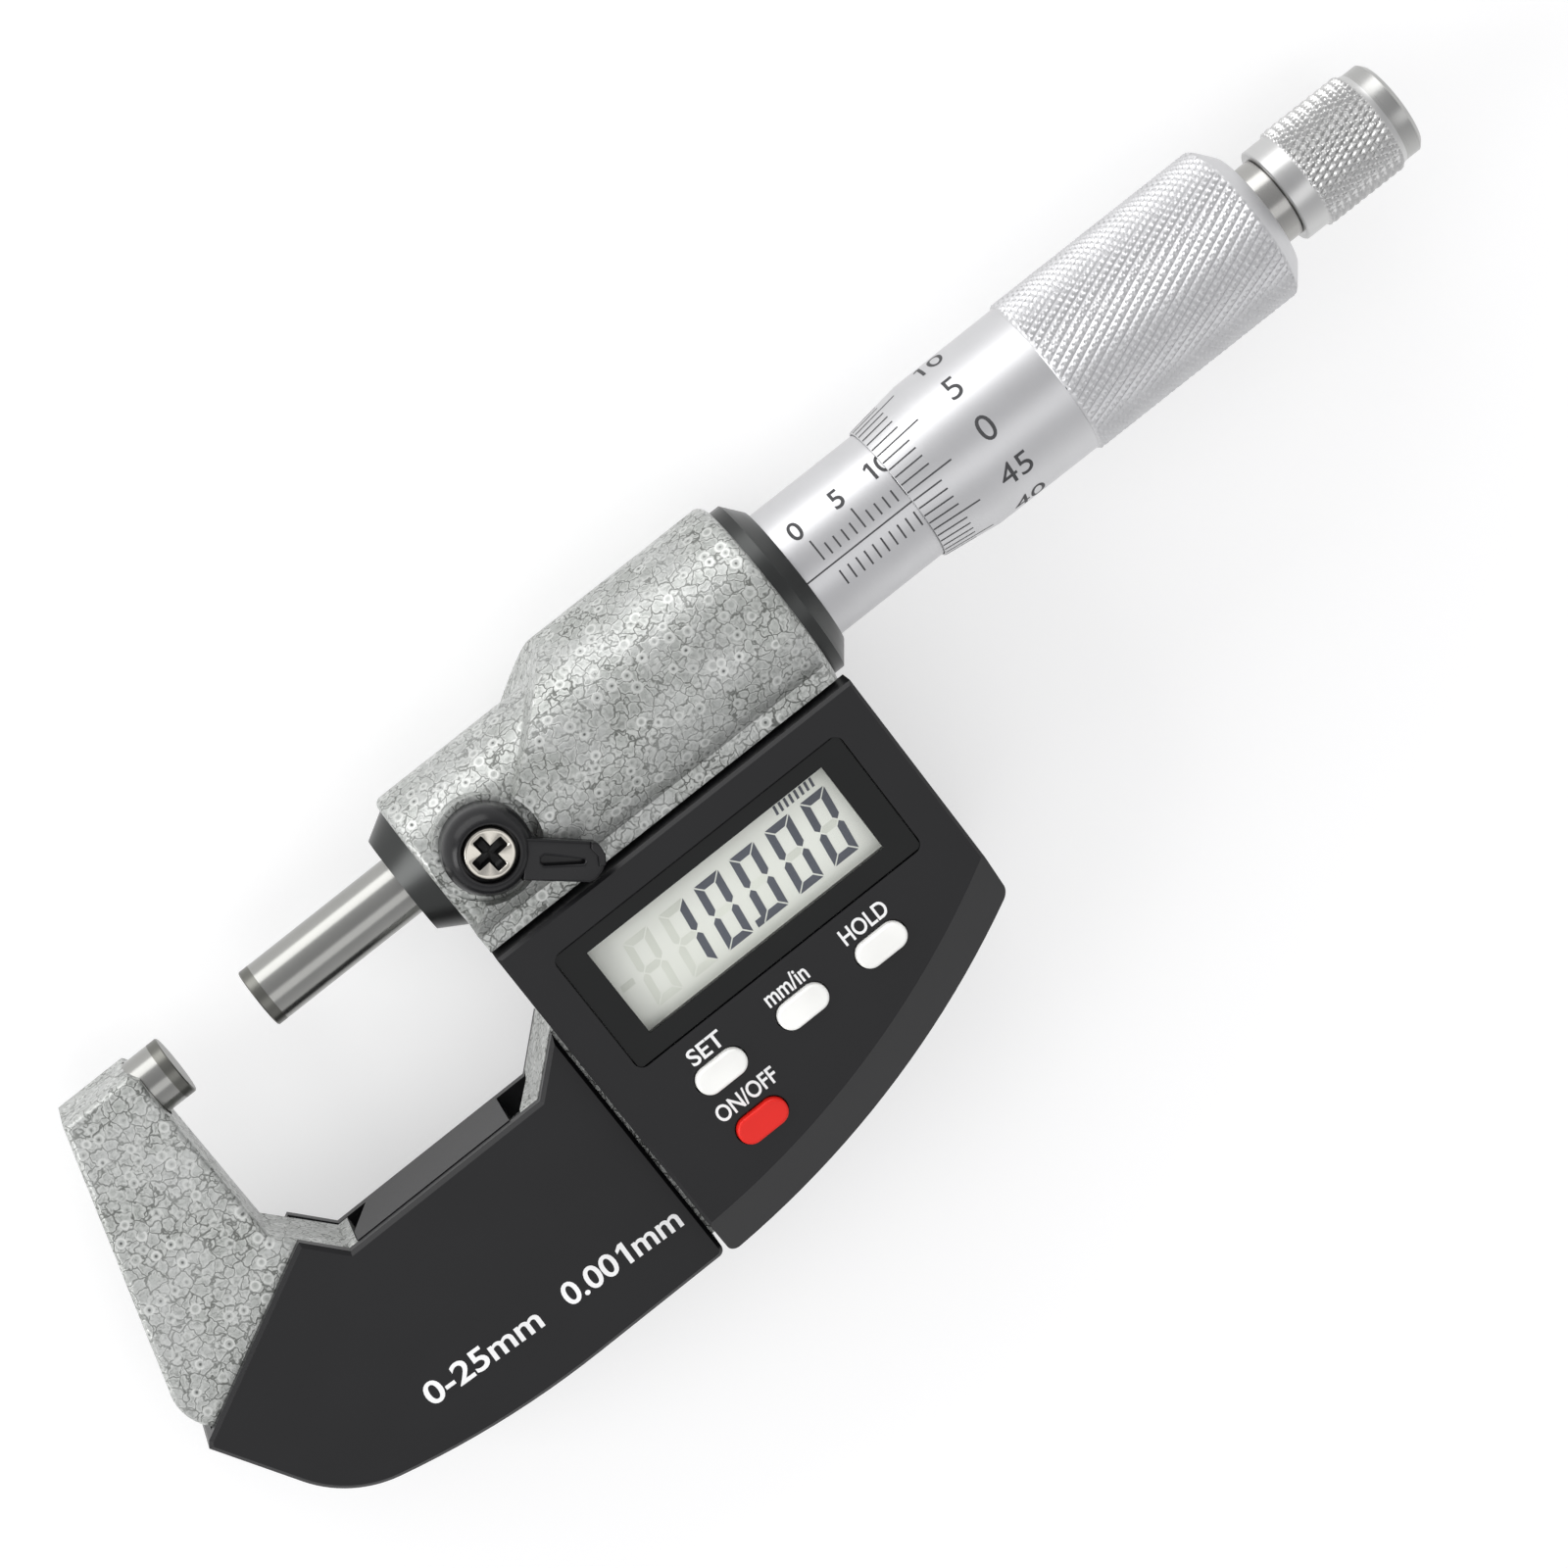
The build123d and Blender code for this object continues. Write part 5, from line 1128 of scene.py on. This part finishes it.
tree.links.new(
    blend_colours(tree, cloud.outputs["Fac"], (0.90, 0.93, 0.83), (0.97, 0.99, 0.93)),
    shader.inputs["Base Color"],
)
shader.inputs["Roughness"].default_value = 0.35
give(panel_glass, "lcd_panel")
lit_bar = moulded("display_bar_dark", (0.105, 0.115, 0.14), 0.4, 0.5, 4.0, 0.002)
faint_bar = moulded("display_bar_faint", (0.82, 0.85, 0.76), 0.4, 0.5, 4.0, 0.002)
panel_face = 8.9
digit_height = 7.1
digit_width = 2.95
bar_width = 0.8
bar_gap = 0.1
lean = 0.13
digit_places = (39.6, 43.9, 48.2, 52.5, 56.8, 61.1)
digit_base = -22.85
decimal_place = 51.75
minus_place = 37.75
strokes_start = 59.7
stroke_pitch = 0.62
strokes_base = -15.25
bars_of = {"0": "abcdef", "1": "bc", "8": "abcdefg"}


def bar_outline(bar):
    """Corners of one bar of a numeral, before its lean. The bars are lettered a to g from the top."""
    wide, tall, thick, gap = digit_width, digit_height, bar_width, bar_gap
    half = tall / 2
    left, right = thick + gap, wide - thick - gap
    if bar == "a":
        return [(gap, tall), (wide - gap, tall), (right, tall - thick), (left, tall - thick)]
    if bar == "d":
        return [(gap, 0), (left, thick), (right, thick), (wide - gap, 0)]
    if bar == "g":
        return [
            (thick / 2 + gap, half),
            (left, half + thick / 2),
            (right, half + thick / 2),
            (wide - thick / 2 - gap, half),
            (right, half - thick / 2),
            (left, half - thick / 2),
        ]
    outer, inner = (wide, wide - thick) if bar in "bc" else (0, thick)
    middle = (outer + inner) / 2
    if bar in "bf":
        return [
            (outer, tall - gap),
            (inner, tall - thick - gap),
            (inner, half + gap + thick / 2),
            (middle, half + gap),
            (outer, half + gap + thick / 2),
        ]
    return [
        (outer, gap),
        (inner, thick + gap),
        (inner, half - gap - thick / 2),
        (middle, half - gap),
        (outer, half - gap - thick / 2),
    ]


def display_bars(name, items, material, lift):
    """Bars of numerals and small strokes, lying on the panel."""
    points, faces = [], []
    for left, base, outline in items:
        first = len(points)
        points.extend(
            ((left + x + lean * y) * mm, (base + y) * mm, (panel_face + lift) * mm) for x, y in outline
        )
        faces.append(tuple(range(first, first + len(outline))))
    return marked_piece(name, points, faces, material, "frame")


lit, unlit = [], []
for left, numeral in zip(digit_places, (" ", "1", "0", "0", "0", "0")):
    for bar in "abcdefg":
        (lit if bar in bars_of.get(numeral, "") else unlit).append((left, digit_base, bar_outline(bar)))


def bar_block(width, height):
    """Corners of a plain upright block on the display."""
    return [(0, 0), (width, 0), (width, height), (0, height)]


lit.append((decimal_place, digit_base, bar_block(0.75, 0.75)))
for index in range(8):
    lit.append((strokes_start + stroke_pitch * index, strokes_base, bar_block(0.28, 0.95)))
unlit.append((minus_place, digit_base + digit_height / 2 - 0.3, bar_block(1.5, 0.7)))
display_bars("lit_bars", lit, lit_bar, 0.02)
display_bars("unlit_bars", unlit, faint_bar, 0.012)
strip_rubber = moulded("strip_rubber", (0.05, 0.05, 0.055), 0.6, 0.7, 3.0, 0.01)
give(strip_rubber, "lcd_connectors")

# Buttons: three white caps and a red one, moulded in hard plastic.
# They stand on one silicone pad inside the case.
white_cap = moulded("white_cap", (0.93, 0.93, 0.90), 0.35, 0.45, 8.0, 0.004)
red_cap = moulded("red_cap", (0.72, 0.016, 0.010), 0.35, 0.45, 8.0, 0.004, 0.3)
silicone = moulded("silicone", (0.55, 0.55, 0.53), 0.55, 0.65, 5.0, 0.01)
give(white_cap, "set_button", "unit_button", "hold_button")
give(red_cap, "power_button")
give(silicone, "button_pad")

# Screws and spring steel: the covers, the case and the board are held by small plated screws.
# The inner sleeve, its nut and the encoder's key, clip and washer are plain steel.
give(dark_steel, "cover_screws", "case_screws", "board_screws", "battery_contacts", "inner_sleeve")
give(dark_steel, "adjusting_nut", "rotor_key", "rotor_clip", "rotor_spring_washer")

# Coin cell: nickel-plated steel can.
# It lies under the round battery cover.
give(bright_steel, "battery")

# Electronics and encoder: green glass-fibre boards, a plastic spacer and an amber flat cable.
# They are hidden in the case and in the barrel's swelling.
board_green, tree, shader = new_finish("glass_fibre_board")
weave = tree.nodes.new("ShaderNodeTexVoronoi")
weave.inputs["Scale"].default_value = 2.0
tree.links.new(millimetres(tree), weave.inputs["Vector"])
tree.links.new(
    blend_colours(tree, weave.outputs["Distance"], (0.02, 0.13, 0.06), (0.03, 0.20, 0.09)),
    shader.inputs["Base Color"],
)
shader.inputs["Roughness"].default_value = 0.35
give(board_green, "circuit_board", "encoder_rotor", "encoder_stator")
give(lever_plastic, "stator_spacer")
amber_film = moulded("amber_film", (0.45, 0.22, 0.04), 0.2, 0.3, 3.0, 0.003)
give(amber_film, "encoder_cable")
